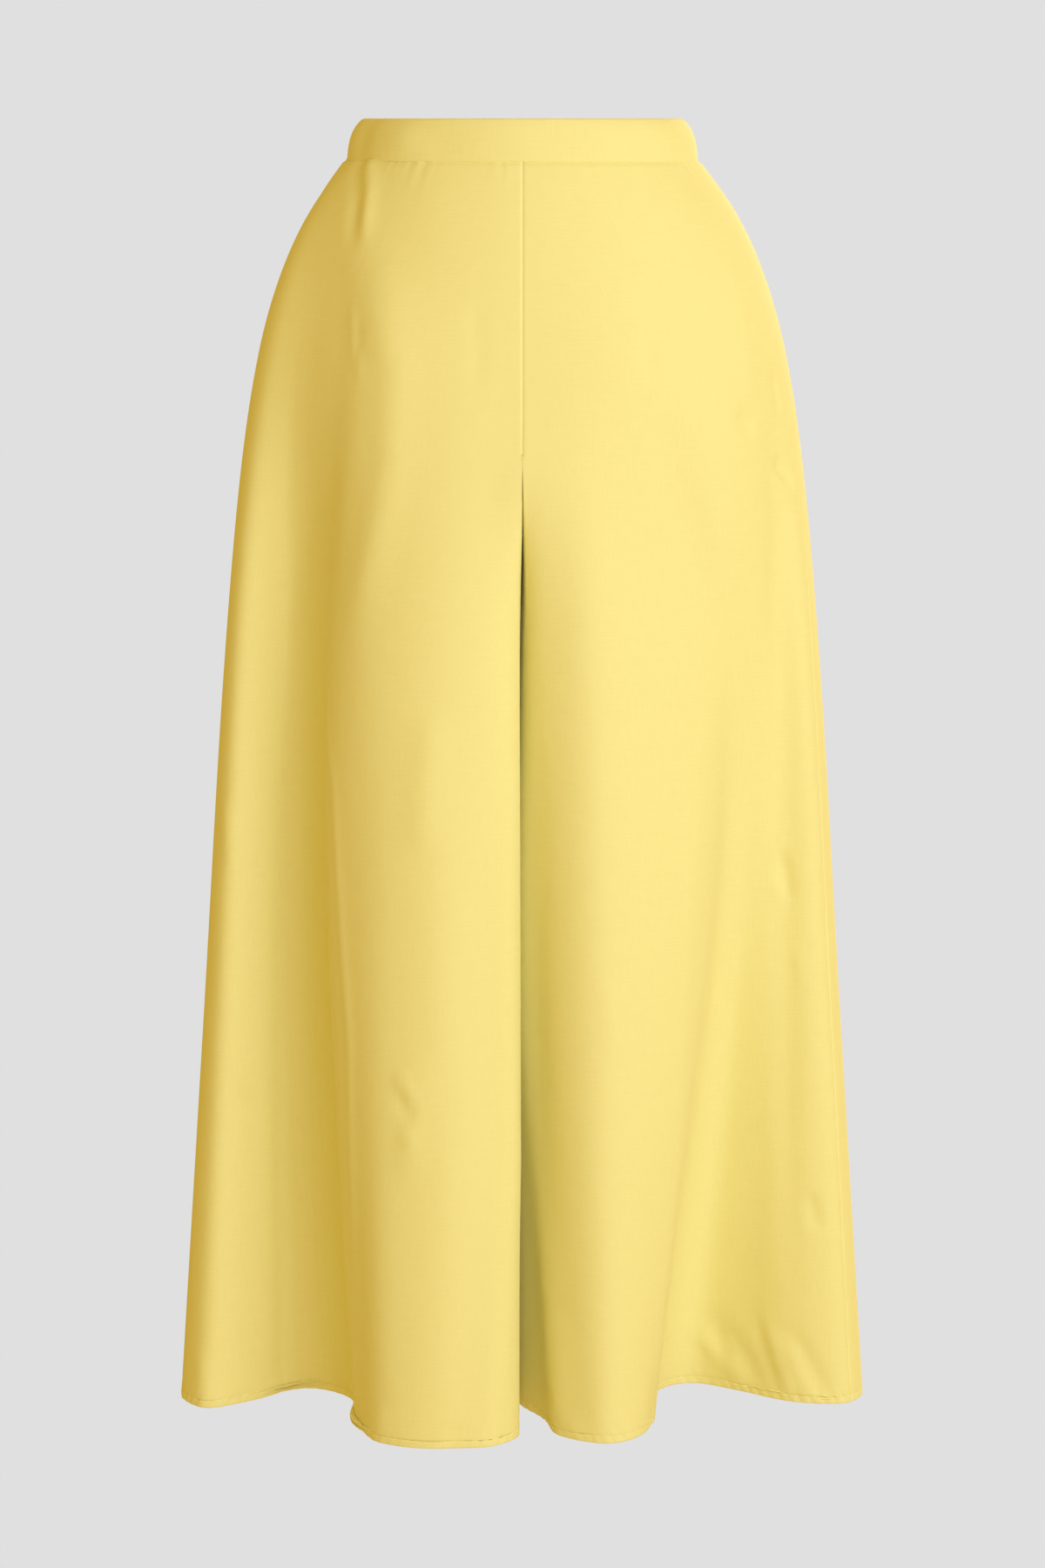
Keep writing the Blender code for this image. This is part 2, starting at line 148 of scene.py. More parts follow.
RIGHT_BACK = (
    Line("side seam", 0, (1995, 120), (2290, 140), (2725, 160)),
    Line("side turn", 9, (1930, 380), (2210, 400), (2640, 460)),
    Line("side valley", 19, (1760, 650), (1960, 600), (2260, 520)),
    Line("seat side", 31, (1470, 940), (1640, 880), (1880, 740)),
    Line("back fold", 44, (1120, 1150), (1310, 1160), (1520, 1260)),
    Line("fold crest", 57, (780, 1260), (930, 1300), (1100, 1500)),
    Line("soft valley", 69, (470, 1280), (560, 1270), (680, 1240)),
    Line("inner face", 81, (180, 1270), (210, 1210), (240, 1280), SPLIT_DROP),
    Line("centre", 90, (0, 1260), (20, 980), (20, 960), SPLIT_DROP),
)
LEFT_BACK = (
    Line("side seam", 0, (2015, -40), (2260, -200), (2655, -200)),
    Line("side turn", 8, (2020, 180), (2325, 80), (2770, 80)),
    Line("side back", 17, (1830, 560), (2180, 480), (2580, 500)),
    Line("side fold", 29, (1530, 900), (1830, 820), (2130, 900)),
    Line("side valley", 41, (1220, 1110), (1450, 1040), (1690, 820)),
    Line("fold crest", 54, (880, 1230), (1060, 1270), (1210, 1450)),
    Line("soft valley", 67, (530, 1280), (680, 1310), (740, 1400)),
    Line("inner face", 80, (200, 1270), (230, 1190), (260, 1130), SPLIT_DROP),
    Line("centre", 90, (0, 1260), (22, 940), (30, 780), SPLIT_DROP),
)
LEGS = {RIGHT: (RIGHT_FRONT, RIGHT_BACK), LEFT: (LEFT_FRONT, LEFT_BACK)}
PANEL_NAMES = {
    (RIGHT, FRONT): "right_leg_front",
    (RIGHT, BACK): "right_leg_back",
    (LEFT, FRONT): "left_leg_front",
    (LEFT, BACK): "left_leg_back",
}

# The inseam from the crotch point down: (across, towards the front). It swings with the folds.
INSEAM_CROTCH = (0.0, 0.015)
INSEAM_HEM = {RIGHT: (0.0045, 0.025), LEFT: (0.0045, -0.035)}
INSEAM_OPENS_IN = 0.080

# Behind the front folds the parting between the legs lies a little to the wearer's right.
PARTING_SHIFT = -0.007
PARTING_FROM = -0.104
PARTING_TO = -0.056

# Mesh density of a panel, and how far each ring is softened.
SAMPLES_PER_SPAN = 24
INNER_SAMPLES = 40
RING_SOFTENING = 0.0060
LINE_STEP = 0.002
LINE_SOFTENING = 0.010
CORNER_SOFTENS_IN = 0.080
UPPER_ROW_STEP = 0.0054
LOWER_ROW_STEP = 0.0052
SEAM_ROW_STEP = 0.0006
SPLIT_ROW_STEP = 0.0016
HEM_ROW_STEP = 0.0012
COLUMNS_PER_SPAN = {FRONT: 15, BACK: 19}
INNER_COLUMNS = 26
SEAM_COLUMN_SHARES = (0.0, 0.014, 0.032, 0.055, 0.085)
SEAM_COLUMNS_END = 0.11
CORNER_SHIFT_POWER = 4
TUCK_UNDER = 0.0018
SHARP_FROM_DEG = 70.0


def smoothstep(value):
    """Ease from 0 to 1, for numbers and arrays."""
    value = np.clip(value, 0.0, 1.0)
    return value * value * (3.0 - 2.0 * value)


def mix(start, end, share):
    """Blend two numbers or arrays."""
    return start + (end - start) * share


def monotone(knots, values, places):
    """Smooth curve through the knots that never swings past them (a monotone cubic)."""
    knots = np.asarray(knots, float)
    values = np.asarray(values, float)
    places = np.clip(places, knots[0], knots[-1])
    steps = np.diff(knots)
    slopes = np.diff(values) / steps
    before = slopes[:-1]
    after = slopes[1:]
    weight_a = 2.0 * steps[1:] + steps[:-1]
    weight_b = steps[1:] + 2.0 * steps[:-1]
    rising = before * after > 0.0
    safe_before = np.where(rising, before, 1.0)
    safe_after = np.where(rising, after, 1.0)
    inner = (weight_a + weight_b) / (weight_a / safe_before + weight_b / safe_after)
    tangents = np.concatenate([slopes[:1], np.where(rising, inner, 0.0), slopes[-1:]])
    span = np.clip(np.searchsorted(knots, places) - 1, 0, len(steps) - 1)
    share = (places - knots[span]) / steps[span]
    square = share * share
    cube = square * share
    return (
        values[span] * (2.0 * cube - 3.0 * square + 1.0)
        + tangents[span] * steps[span] * (cube - 2.0 * square + share)
        + values[span + 1] * (3.0 * square - 2.0 * cube)
        + tangents[span + 1] * steps[span] * (cube - square)
    )


def figure(column, drops):
    """One size of the figure at each drop: half_width, front or back."""
    return monotone([ring.drop for ring in FIGURE], [getattr(ring, column) for ring in FIGURE], drops)


def soften_rows(values, reach):
    """Gaussian average down evenly spaced rows of samples, the ends held in place."""
    width = int(math.ceil(3.0 * reach))
    offsets = np.arange(-width, width + 1)
    kernel = np.exp(-0.5 * (offsets / reach) ** 2)
    kernel /= kernel.sum()
    head = 2.0 * values[0] - values[width:0:-1]
    tail = 2.0 * values[-1] - values[-2:-width - 2:-1]
    padded = np.concatenate([head, values, tail])
    return np.stack([np.convolve(column, kernel, "valid") for column in padded.T], axis=1)


class LinePath:
    """The softened way of one fold line down the cloth."""

    def __init__(self, line, side, facing):
        depth_name = "front" if facing == FRONT else "back"
        self.drops = np.arange(BAND_HEIGHT, LENGTH + 0.5 * LINE_STEP, LINE_STEP)
        knots = [BAND_HEIGHT, HIP_DROP, THIGH_DROP, LENGTH]
        angle = math.radians(line.waist_deg)
        places = [(math.cos(angle), math.sin(angle))]
        for level, place in zip(knots[1:], (line.hip, line.thigh, line.hem)):
            across = place[0] / TENTHS / figure("half_width", level)
            out = place[1] / TENTHS / figure(depth_name, level)
            places.append((float(across), float(out)))
        if line.held > HIP_DROP:
            knots.insert(2, line.held)
            places.insert(2, places[1])
        across = monotone(knots, [place[0] for place in places], self.drops)
        out = monotone(knots, [place[1] for place in places], self.drops)
        x = side * across * figure("half_width", self.drops)
        y = facing * out * figure(depth_name, self.drops)
        self.places = soften_rows(np.stack([x, y], axis=1), LINE_SOFTENING / LINE_STEP)

    def at(self, drops):
        """Where the line passes at each drop: an array of (x, y)."""
        x = np.interp(drops, self.drops, self.places[:, 0])
        y = np.interp(drops, self.drops, self.places[:, 1])
        return np.stack([x, y], axis=-1)


def catmull_rom(before, start, end, after, share):
    """Centripetal Catmull-Rom curves between start and end, one in each row."""
    points = (before, start, end, after)
    knots = [np.zeros((len(start), 1))]
    for near, far in zip(points, points[1:]):
        reach = np.linalg.norm(far - near, axis=1, keepdims=True)
        knots.append(knots[-1] + np.maximum(np.sqrt(reach), 1e-4))
    place = mix(knots[1], knots[2], share)

    def blend(a, b, low, high):
        return mix(a, b, (place - knots[low]) / (knots[high] - knots[low]))

    first = blend(before, start, 0, 1)
    second = blend(start, end, 1, 2)
    third = blend(end, after, 2, 3)
    return blend(blend(first, second, 0, 2), blend(second, third, 1, 3), 1, 2)


def parting(y, drops):
    """Where the legs part at a depth and a drop: 0 is the centre plane."""
    back_share = smoothstep((y - PARTING_FROM) / (PARTING_TO - PARTING_FROM))
    fall_share = smoothstep((drops - SPLIT_DROP) / (THIGH_DROP - SPLIT_DROP))
    return PARTING_SHIFT * back_share * fall_share


def inner_place(across, y, drops, side):
    """Points of a leg's inner face: their clearance across is measured from the parting."""
    clearance = np.maximum(across, 0.5 * SEAM_GAP)
    return np.stack([side * clearance + parting(y, drops), y + 0.0 * drops], axis=-1)


def inseam_place(drops, side):
    """Where the inseam passes at each drop, as (across, y)."""
    share = smoothstep((drops - CROTCH_DROP) / INSEAM_OPENS_IN)
    fall = np.maximum((drops - CROTCH_DROP) / (LENGTH - CROTCH_DROP), 0.0)
    hem = INSEAM_HEM[side]
    across = mix(INSEAM_CROTCH[0], hem[0], 0.5 * share + 0.5 * fall)
    return across, FRONT * mix(INSEAM_CROTCH[1], hem[1], fall)


def raw_outer(paths, neighbour, drops, side):
    """Dense curve of a panel at each drop, side seam to centre: rows by samples by (x, y)."""
    points = [path.at(drops) for path in paths]
    centre = points[-1]
    points[-1] = inner_place(side * centre[:, 0], centre[:, 1], drops, side)
    mirrored = points[-2] * (-1.0, 1.0)
    across, y = inseam_place(drops, side)
    inseam = inner_place(across, y, drops, side)
    opening = smoothstep((drops - SPLIT_DROP) / (CROTCH_DROP - SPLIT_DROP))[:, None]
    chain = [neighbour.at(drops)] + points + [mix(mirrored, inseam, opening)]
    samples = [
        catmull_rom(*chain[span:span + 4], step / SAMPLES_PER_SPAN)
        for span in range(len(points) - 1)
        for step in range(SAMPLES_PER_SPAN)
    ]
    return np.stack(samples + points[-1:], axis=1)


def raw_inner(corner_path, corner, drops, side):
    """Dense face from the centre corner back to the inseam: rows by samples by (x, y, drop).

    Its top row is the crotch curve, so each sample has a drop of its own.
    """
    share = np.linspace(0.0, 1.0, INNER_SAMPLES + 1)[None, :]
    top = mix(SPLIT_DROP, CROTCH_DROP, np.sqrt(1.0 - (1.0 - share) ** 2))
    fall = ((drops - SPLIT_DROP) / (LENGTH - SPLIT_DROP))[:, None]
    own_drops = mix(top, LENGTH, fall)
    near = corner_path.at(own_drops)
    far_across, far_y = inseam_place(own_drops, side)
    apart = smoothstep((own_drops - top) / INSEAM_OPENS_IN)
    across = apart * mix(side * near[..., 0], far_across, share)
    places = inner_place(across, mix(near[..., 1], far_y, share), own_drops, side)
    offset = (corner - places[:, 0])[:, None, :] * (1.0 - share[..., None])
    return np.concatenate([places + offset, own_drops[..., None]], axis=2)


def soften_loop(loop, wanted, reach):
    """Gaussian average of a closed loop of points along its own length, read at index places."""
    steps = np.linalg.norm(np.roll(loop, -1, axis=0) - loop, axis=1)
    length = steps.sum()
    starts = np.concatenate([[0.0], np.cumsum(steps)])
    weights = 0.5 * (steps + np.roll(steps, 1))
    places = np.interp(wanted, np.arange(len(starts)), starts)
    apart = np.abs(places[:, None] - starts[None, :-1])
    apart = np.minimum(apart, length - apart)
    share = np.exp(-0.5 * (apart / reach) ** 2) * weights
    share /= share.sum(axis=1, keepdims=True)
    return share @ loop


def growing(step, longest, growth=1.4):
    """Places from 0 on, a step apart that grows until it is long."""
    places = [0.0]
    while step < longest:
        places.append(places[-1] + step)
        step *= growth
    return np.array(places)


def spaced(start, end, first_step, last_step, longest):
    """Places from start to end whose steps grow from first_step to longest and shrink again."""
    head = start + growing(first_step, longest)
    tail = end - growing(last_step, longest)[::-1]
    count = max(int(round((tail[0] - head[-1]) / longest)), 1)
    return np.concatenate([head[:-1], np.linspace(head[-1], tail[0], count + 1), tail[1:]])


def seam_shares(count):
    """Even shares from 0 to 1, but closer ones beside the seam at 0."""
    shares = np.linspace(0.0, 1.0, count + 1)
    return np.concatenate([SEAM_COLUMN_SHARES, shares[shares > SEAM_COLUMNS_END]])


def column_places(span_count, per_span):
    """Sample places of a panel's columns, finer beside the seams at both its ends."""
    first = seam_shares(per_span)
    shares = np.linspace(0.0, 1.0, per_span + 1)[1:]
    middle = [span + shares for span in range(1, span_count - 1)]
    return np.concatenate([first, *middle, span_count - first[-2::-1]])


def resample(values, places, wanted):
    """Read each row of a grid at wanted places along it."""
    columns = [
        np.stack([np.interp(wanted_row, place_row, axis) for axis in row.T], axis=1)
        for row, place_row, wanted_row in zip(values, places, wanted)
    ]
    return np.stack(columns)


class Panel:
    """One leg panel as grids of points: rows run down, columns run from side seam to inseam.

    The columns past `corner` are the inner face. They start at row `split`, on the crotch curve.
    """

    def __init__(self, side, facing, rows, split, corner, points):
        self.side = side
        self.facing = facing
        self.name = PANEL_NAMES[side, facing]
        self.rows = rows
        self.split = split
        self.corner = corner
        self.points = points
        self.drops = TOP - points[..., 2]

    def cut(self, first, stop):
        """Some rows of the panel, as a panel of its own."""
        part = copy.copy(self)
        part.split = max(self.split - first, 0)
        part.rows = self.rows[first:stop]
        part.points = self.points[first:stop].copy()
        part.drops = self.drops[first:stop]
        return part

    def valid(self):
        """Which grid points exist."""
        return ~np.isnan(self.points[..., 0])

    def quads(self):
        """Corners of the panel's quads as grid indices, row by row."""
        height, width = self.points.shape[:2]
        row, column = np.meshgrid(np.arange(height - 1), np.arange(width - 1), indexing="ij")
        keep = (column < self.corner) | (row >= self.split)
        first = (row * width + column)[keep]
        quads = np.stack([first, first + 1, first + width + 1, first + width], axis=1)
        if self.side * self.facing > 0.0:
            quads = quads[:, ::-1]
        return quads

    def normals(self):
        """Outward unit normal at each grid point."""
        flat = self.points.reshape(-1, 3)
        quads = self.quads()
        corners = flat[quads]
        face = np.cross(corners[:, 2] - corners[:, 0], corners[:, 3] - corners[:, 1])
        total = np.zeros_like(flat)
        for corner in range(4):
            np.add.at(total, quads[:, corner], face)
        length = np.linalg.norm(total, axis=1, keepdims=True)
        return (total / np.maximum(length, 1e-12)).reshape(self.points.shape)

    def along(self):
        """Distance of each grid point from the side seam, along the cloth."""
        steps = np.linalg.norm(np.diff(self.points, axis=1), axis=2)
        return np.concatenate([np.zeros((len(steps), 1)), np.cumsum(steps, axis=1)], axis=1)

    def push(self, offset):
        """Move each point out along its normal."""
        self.points = self.points + self.normals() * offset[..., None]


def leg_panels(side, rows, split):
    """The smooth front and back panels of one leg.

    Each ring is softened as a whole: above the split round both legs, and below it round one leg.
    """
    paths = {
        facing: [LinePath(line, side, facing) for line in lines]
        for facing, lines in zip((FRONT, BACK), LEGS[side])
    }
    raw = {facing: raw_outer(paths[facing], paths[-facing][1], rows, side) for facing in paths}
    inner = {
        facing: raw_inner(paths[facing][-1], raw[facing][:, -1], rows, side) for facing in paths
    }
    places = {
        facing: column_places(len(paths[facing]) - 1, COLUMNS_PER_SPAN[facing]) * SAMPLES_PER_SPAN
        for facing in paths
    }
    inner_shares = 1.0 - seam_shares(INNER_COLUMNS)[::-1]
    reads = inner_shares * INNER_SAMPLES
    index = np.arange(INNER_SAMPLES + 1)
    plain = {
        facing: resample(inner[facing], [index] * rows.size, [reads] * rows.size) for facing in paths
    }
    corner = {facing: places[facing].size - 1 for facing in paths}
    grids = {facing: np.full((rows.size, corner[facing] + reads.size, 3), np.nan) for facing in paths}
    last = {facing: raw[facing].shape[1] - 1 for facing in paths}
    half_wanted = np.concatenate([last[FRONT] - places[FRONT], last[FRONT] + places[BACK]])
    cuts = np.cumsum([places[FRONT].size, places[BACK].size, reads.size])
    for row, drop in enumerate(rows):
        over = np.concatenate([raw[FRONT][row][::-1], raw[BACK][row][1:]])
        mirrored = over[::-1][1:-1] * (-1.0, 1.0)
        whole = soften_loop(np.concatenate([over, mirrored]), half_wanted, RING_SOFTENING)
        outer = dict(zip((FRONT, BACK), np.split(whole, cuts[:1])))
        if row >= split:
            share = float(smoothstep((drop - SPLIT_DROP) / CORNER_SOFTENS_IN))
            over = np.column_stack([over, np.full(len(over), drop)])
            loop = np.concatenate([over, inner[BACK][row][1:], inner[FRONT][row][-2:0:-1]])
            wanted = np.concatenate([half_wanted, len(loop) - reads, sum(last.values()) + reads])
            parts = np.split(soften_loop(loop, wanted, RING_SOFTENING), cuts)
            for facing, leg, face in zip((FRONT, BACK), parts[:2], parts[2:]):
                outer[facing] = mix(outer[facing], leg[:, :2], share)
                merged = mix(plain[facing][row], face, share)
                shift = outer[facing][-1] - merged[0, :2]
                merged[:, :2] += shift * (1.0 - inner_shares[:, None]) ** CORNER_SHIFT_POWER
                merged[:, 2] = TOP - plain[facing][row][:, 2]
                grids[facing][row, corner[facing]:] = merged
        for facing in outer:
            grids[facing][row, :places[facing].size, :2] = outer[facing]
            grids[facing][row, :places[facing].size, 2] = TOP - drop
    return [Panel(side, facing, rows, split, corner[facing], grids[facing]) for facing in paths]


def row_drops(line):
    """Drops of a panel's rows down to the hem line, closer at the seams, and the split's row."""
    top = BAND_HEIGHT - TUCK_UNDER
    upper = spaced(top, SPLIT_DROP, SEAM_ROW_STEP, SPLIT_ROW_STEP, UPPER_ROW_STEP)
    foot = line + TUCK_UNDER
    lower = spaced(SPLIT_DROP, foot, SEAM_ROW_STEP, HEM_ROW_STEP, LOWER_ROW_STEP)
    return np.concatenate([upper[:-1], lower]), len(upper) - 1


# Seams. The cloth dips beside each seam, and the waist seam and hem line take it under. The dip at
# the hem's stitches is a share of a seam's, and the cloth ends inside the hem's thickness.
HEM_LINE_DIP = 0.3
HEM_LINE_UNDER = 0.35
FAR_AWAY = 9.0


def seam_distance(panel):
    """Distance of each grid point from the nearest sewn edge at the side, centre and crotch."""
    along = panel.along()
    below = np.maximum(panel.rows - SPLIT_DROP, 0.0)[:, None]
    centre = np.hypot(along[:, panel.corner][:, None] - along, below)
    inseam = np.abs(along[:, -1:] - along)
    inner = panel.points[:, panel.corner:]
    crotch = np.full_like(along, FAR_AWAY)
    crotch[:, panel.corner:] = np.linalg.norm(inner - inner[panel.split], axis=2)
    return np.fmin(np.fmin(along, centre), np.fmin(inseam, crotch))


def press_seams(panel, sizes):
    """Take the cloth down into the grooves of the seams that it is sewn to."""
    distance = seam_distance(panel)
    groove = sizes.seam_depth * np.exp(-((distance / sizes.seam_width) ** 2))
    waist = np.maximum(panel.drops - BAND_HEIGHT, 0.0)
    tuck = (sizes.band_step + sizes.seam_depth) * np.exp(-((waist / sizes.seam_width) ** 2))
    rise = np.maximum(panel.drops - hem_line(sizes), 0.0)
    line = np.maximum(hem_line(sizes) - panel.drops, 0.0)
    stitched = HEM_LINE_DIP * sizes.seam_depth * np.exp(-((line / sizes.seam_width) ** 2))
    under = HEM_LINE_UNDER * sizes.hem_thickness * smoothstep(rise / TUCK_UNDER)
    panel.push(-(groove + tuck + stitched + under))


# Creases. Each row is a width and a height in tenths of a millimetre, and then the places that the
# crease runs through: thousandths of the way from the side seam to the centre edge, and the drop in
# millimetres. A positive height is a soft ridge and a negative one a trough.
THOUSANDTHS = 1000.0
CREASES = {
    "right_leg_front": (
        # the hip tuck and the shaded fold that falls from it
        (60, 24, (255, 12), (300, 34), (395, 56), (478, 100)),
        (65, -19, (195, 12), (235, 34), (340, 55), (430, 100)),
        (160, 26, (500, 80), (545, 104), (645, 184), (650, 247), (625, 313), (562, 410)),
        (190, -30, (300, 120), (298, 282), (284, 375), (286, 518), (292, 655), (306, 804), (322, 946),
         (350, 1250)),
        (75, -18, (285, 120), (276, 210), (268, 282), (264, 375), (266, 518), (272, 655), (284, 804),
         (298, 946), (330, 1250)),
        (260, -34, (560, 330), (600, 506), (620, 655), (640, 804), (640, 1200)),
        (260, 22, (760, 380), (800, 506), (820, 655), (840, 804), (840, 1200)),
        (48, 11, (392, 369), (533, 506), (568, 605), (604, 704), (612, 847), (600, 960)),
        # the crisp edge beside the centre
        (150, 34, (955, 300), (965, 500), (968, 800), (968, 1500)),
        # small crinkles and wrinkles
        (50, 7, (460, 134), (500, 160), (512, 184)),
        (48, -7, (500, 150), (528, 172)),
        (48, 6, (520, 176), (548, 194)),
        (130, 16, (790, 430), (778, 481), (770, 560)),
        (110, 14, (772, 700), (768, 760), (760, 820)),
        (48, 14, (726, 718), (771, 744)),
        (50, -14, (730, 738), (774, 762)),
        (55, 10, (742, 766), (776, 781)),
        (52, -18, (176, 756), (226, 783)),
        (80, 9, (120, 520), (150, 590)),
        (70, -7, (860, 130), (880, 170), (870, 205)),
        # soft ripples over the hem
        (90, 12, (120, 965), (145, 1060)),
        (80, -9, (255, 985), (285, 1050)),
        (90, 10, (720, 985), (700, 1045)),
        (70, -8, (860, 996), (845, 1045)),
    ),
    "left_leg_front": (
        # the crisp edge beside the centre
        (180, 44, (940, 300), (952, 450), (958, 700), (962, 1500)),
        # the long soft fold and the shaded band near the side
        (120, 18, (350, 400), (373, 437), (425, 506), (470, 605), (528, 816), (573, 965), (590, 1100)),
        (110, -21, (200, 180), (166, 238), (137, 307), (113, 443), (111, 580), (112, 723), (112, 884),
         (110, 1020)),
        (100, 10, (230, 85), (270, 168), (262, 230)),
        # dents and wrinkles
        (65, -22, (146, 188), (118, 226)),
        (70, -22, (325, 218), (245, 236)),
        (52, -27, (160, 257), (52, 281)),
        (52, 17, (170, 268), (70, 292)),
        (58, -20, (122, 562), (98, 612)),
        (45, 7, (150, 585), (120, 612)),
        (50, 7, (90, 640), (72, 676)),
        (60, -20, (70, 842), (54, 878)),
        (65, -18, (276, 968), (240, 1002)),
        (55, 8, (300, 975), (268, 1003)),
        (80, 8, (700, 640), (680, 720)),
        (70, -7, (610, 150), (640, 200)),
        # diagonal ripples over the hem
        (85, -16, (165, 1024), (185, 1002), (230, 978), (300, 956)),
        (80, 14, (205, 1026), (225, 1006), (270, 986), (325, 968)),
        (70, -15, (128, 1024), (150, 996), (195, 945)),
        (70, 14, (104, 1026), (128, 996), (170, 948)),
        (80, -16, (32, 1026), (58, 1002), (92, 974), (135, 950)),
        (70, 13, (70, 1026), (92, 1000), (122, 962)),
        (90, -10, (600, 1050), (590, 1000), (575, 975)),
        (80, 9, (780, 1050), (785, 995)),
    ),
    "right_leg_back": (
        # long soft folds
        (150, 37, (260, 130), (300, 260), (330, 430), (310, 620)),
        (120, -31, (420, 180), (440, 330), (470, 520)),
        (140, 34, (620, 300), (600, 480), (560, 700), (550, 860)),
        (110, -24, (180, 480), (200, 680), (215, 900), (220, 1100)),
        (130, 27, (760, 560), (770, 760), (780, 1150)),
        # the drag lines below the seat
        (85, -37, (930, 262), (840, 300), (730, 318)),
        (90, 32, (900, 286), (800, 326), (690, 340)),
        (80, -24, (860, 318), (780, 352), (700, 366)),
        # dents, wrinkles and hem ripples
        (55, -19, (140, 400), (180, 426)),
        (50, 14, (160, 420), (205, 438)),
        (60, -17, (500, 660), (530, 698)),
        (55, 15, (330, 830), (300, 866)),
        (80, 22, (160, 1050), (150, 980)),
        (70, -19, (330, 1050), (345, 992)),
        (85, 20, (480, 1050), (460, 975)),
        (70, -17, (680, 1050), (695, 990)),
    ),
    "left_leg_back": (
        # long soft folds
        (140, 34, (220, 110), (240, 240), (290, 410), (300, 540)),
        (130, -34, (380, 220), (370, 400), (400, 600), (390, 760)),
        (150, 37, (540, 340), (560, 520), (600, 760), (620, 1150)),
        (100, -22, (120, 560), (130, 740), (150, 980)),
        (120, 26, (740, 480), (720, 640), (730, 800)),
        # the drag lines below the seat
        (90, -34, (920, 268), (830, 296), (740, 302)),
        (85, 31, (890, 294), (790, 322), (680, 326)),
        (75, -20, (880, 330), (800, 350), (740, 356)),
        # dents, wrinkles and hem ripples
        (60, -20, (200, 330), (245, 350)),
        (55, 14, (640, 560), (610, 594)),
        (55, -17, (450, 860), (480, 892)),
        (50, 14, (250, 700), (215, 728)),
        (85, 24, (140, 1050), (125, 972)),
        (70, -20, (250, 1050), (265, 990)),
        (80, 20, (440, 1050), (430, 985)),
        (75, -17, (760, 1050), (745, 980)),
    ),
}
CREASE_ENDS = 0.30
CREASE_SEAM_FADE = 0.008


def crease_reach(along, drops, places):
    """Distance of each grid point from a crease's way, and the share of the way where it lies."""
    steps = np.linalg.norm(np.diff(places, axis=0), axis=1)
    starts = np.concatenate([[0.0], np.cumsum(steps)])
    nearest = np.full(along.shape, FAR_AWAY)
    passed = np.zeros(along.shape)
    for start, end, step, before in zip(places, places[1:], steps, starts):
        way = end - start
        part = ((along - start[0]) * way[0] + (drops - start[1]) * way[1]) / (step * step)
        part = np.clip(part, 0.0, 1.0)
        away = np.hypot(along - start[0] - part * way[0], drops - start[1] - part * way[1])
        closer = away < nearest
        nearest = np.where(closer, away, nearest)
        passed = np.where(closer, (before + part * step) / starts[-1], passed)
    return nearest, passed


def seam_fade(panel):
    """Share of a crease's height that is left at each grid point, none of it at a seam."""
    return smoothstep(np.nan_to_num(seam_distance(panel)) / CREASE_SEAM_FADE)


def press_creases(panel, sizes):
    """Raise and sink the panel's creases, which die out at their ends and at the seams."""
    along = np.nan_to_num(panel.along(), nan=FAR_AWAY)
    drops = np.nan_to_num(panel.drops, nan=FAR_AWAY)
    length = along[:, panel.corner]
    offset = np.zeros_like(along)
    for width, height, *way in CREASES[panel.name]:
        shares, falls = np.array(way).T / THOUSANDTHS
        places = np.stack([shares * np.interp(falls, panel.rows, length), falls], axis=1)
        nearest, passed = crease_reach(along, drops, places)
        ends = smoothstep(passed / CREASE_ENDS) * smoothstep((1.0 - passed) / CREASE_ENDS)
        offset += height / TENTHS * ends * np.exp(-((nearest / (width / TENTHS)) ** 2))
    panel.push(offset * seam_fade(panel) * sizes.crease_strength)


# Gathers: uneven folds that the waist seam lets fall, many below the elastic of the back and a few
# faint ones below the flat front. Depth and reach are the largest in each panel, and noise makes
# them uneven: its middle, its swing and its limits.
Gather = namedtuple("Gather", "count depth reach start end seed")
GATHERS = {
    "right_leg_front": Gather(19.0, 0.00060, 0.020, 0.30, 1.00, 21.3),
    "left_leg_front": Gather(17.0, 0.00035, 0.013, 0.00, 0.90, 33.9),
    "right_leg_back": Gather(14.5, 0.00290, 0.100, -0.20, 1.20, 41.7),
    "left_leg_back": Gather(15.5, 0.00290, 0.100, -0.20, 1.20, 57.1),
}
Uneven = namedtuple("Uneven", "scale seed middle swing least most")
GATHER_REACH = Uneven(1.3, 9.0, 0.55, 0.9, 0.18, 1.1)
GATHER_HEIGHT = Uneven(1.7, 5.0, 0.55, 1.1, 0.1, 1.2)
GATHER_DRIFT = Uneven(2.3, 0.0, 0.0, 0.9, -1.0, 1.0)
GATHER_SHARES = np.linspace(0.0, 1.2, 300)
GATHER_EDGE = 0.15
GATHER_FALL_POWER = 1.4


def press_gathers(panel, sizes):
    """Raise and sink the folds that fall from the waist seam."""
    gather = GATHERS[panel.name]
    along = panel.along()
    shares = np.nan_to_num(along / along[:, panel.corner][:, None])
    shares = np.clip(shares, GATHER_SHARES[0], GATHER_SHARES[-1])

    def vary(kind):
        row = noise_row(GATHER_SHARES * gather.count, kind.scale, gather.seed + kind.seed)
        swing = kind.swing * np.interp(shares, GATHER_SHARES, row)
        return np.clip(kind.middle + swing, kind.least, kind.most)

    below = np.maximum(np.nan_to_num(panel.drops, nan=FAR_AWAY) - BAND_HEIGHT, 0.0)
    reach = gather.reach * vary(GATHER_REACH)
    wave = np.cos(2.0 * np.pi * (shares * gather.count + vary(GATHER_DRIFT)))
    held = np.exp(-((below / reach) ** GATHER_FALL_POWER)) * vary(GATHER_HEIGHT)
    inside = smoothstep((shares - gather.start) / GATHER_EDGE)
    inside = inside * smoothstep((gather.end - shares) / GATHER_EDGE)
    panel.push(gather.depth * wave * held * inside * seam_fade(panel) * sizes.crease_strength)


def hem_line(sizes):
    """Drop of the stitch line above the hem."""
    return LENGTH - sizes.hem_height


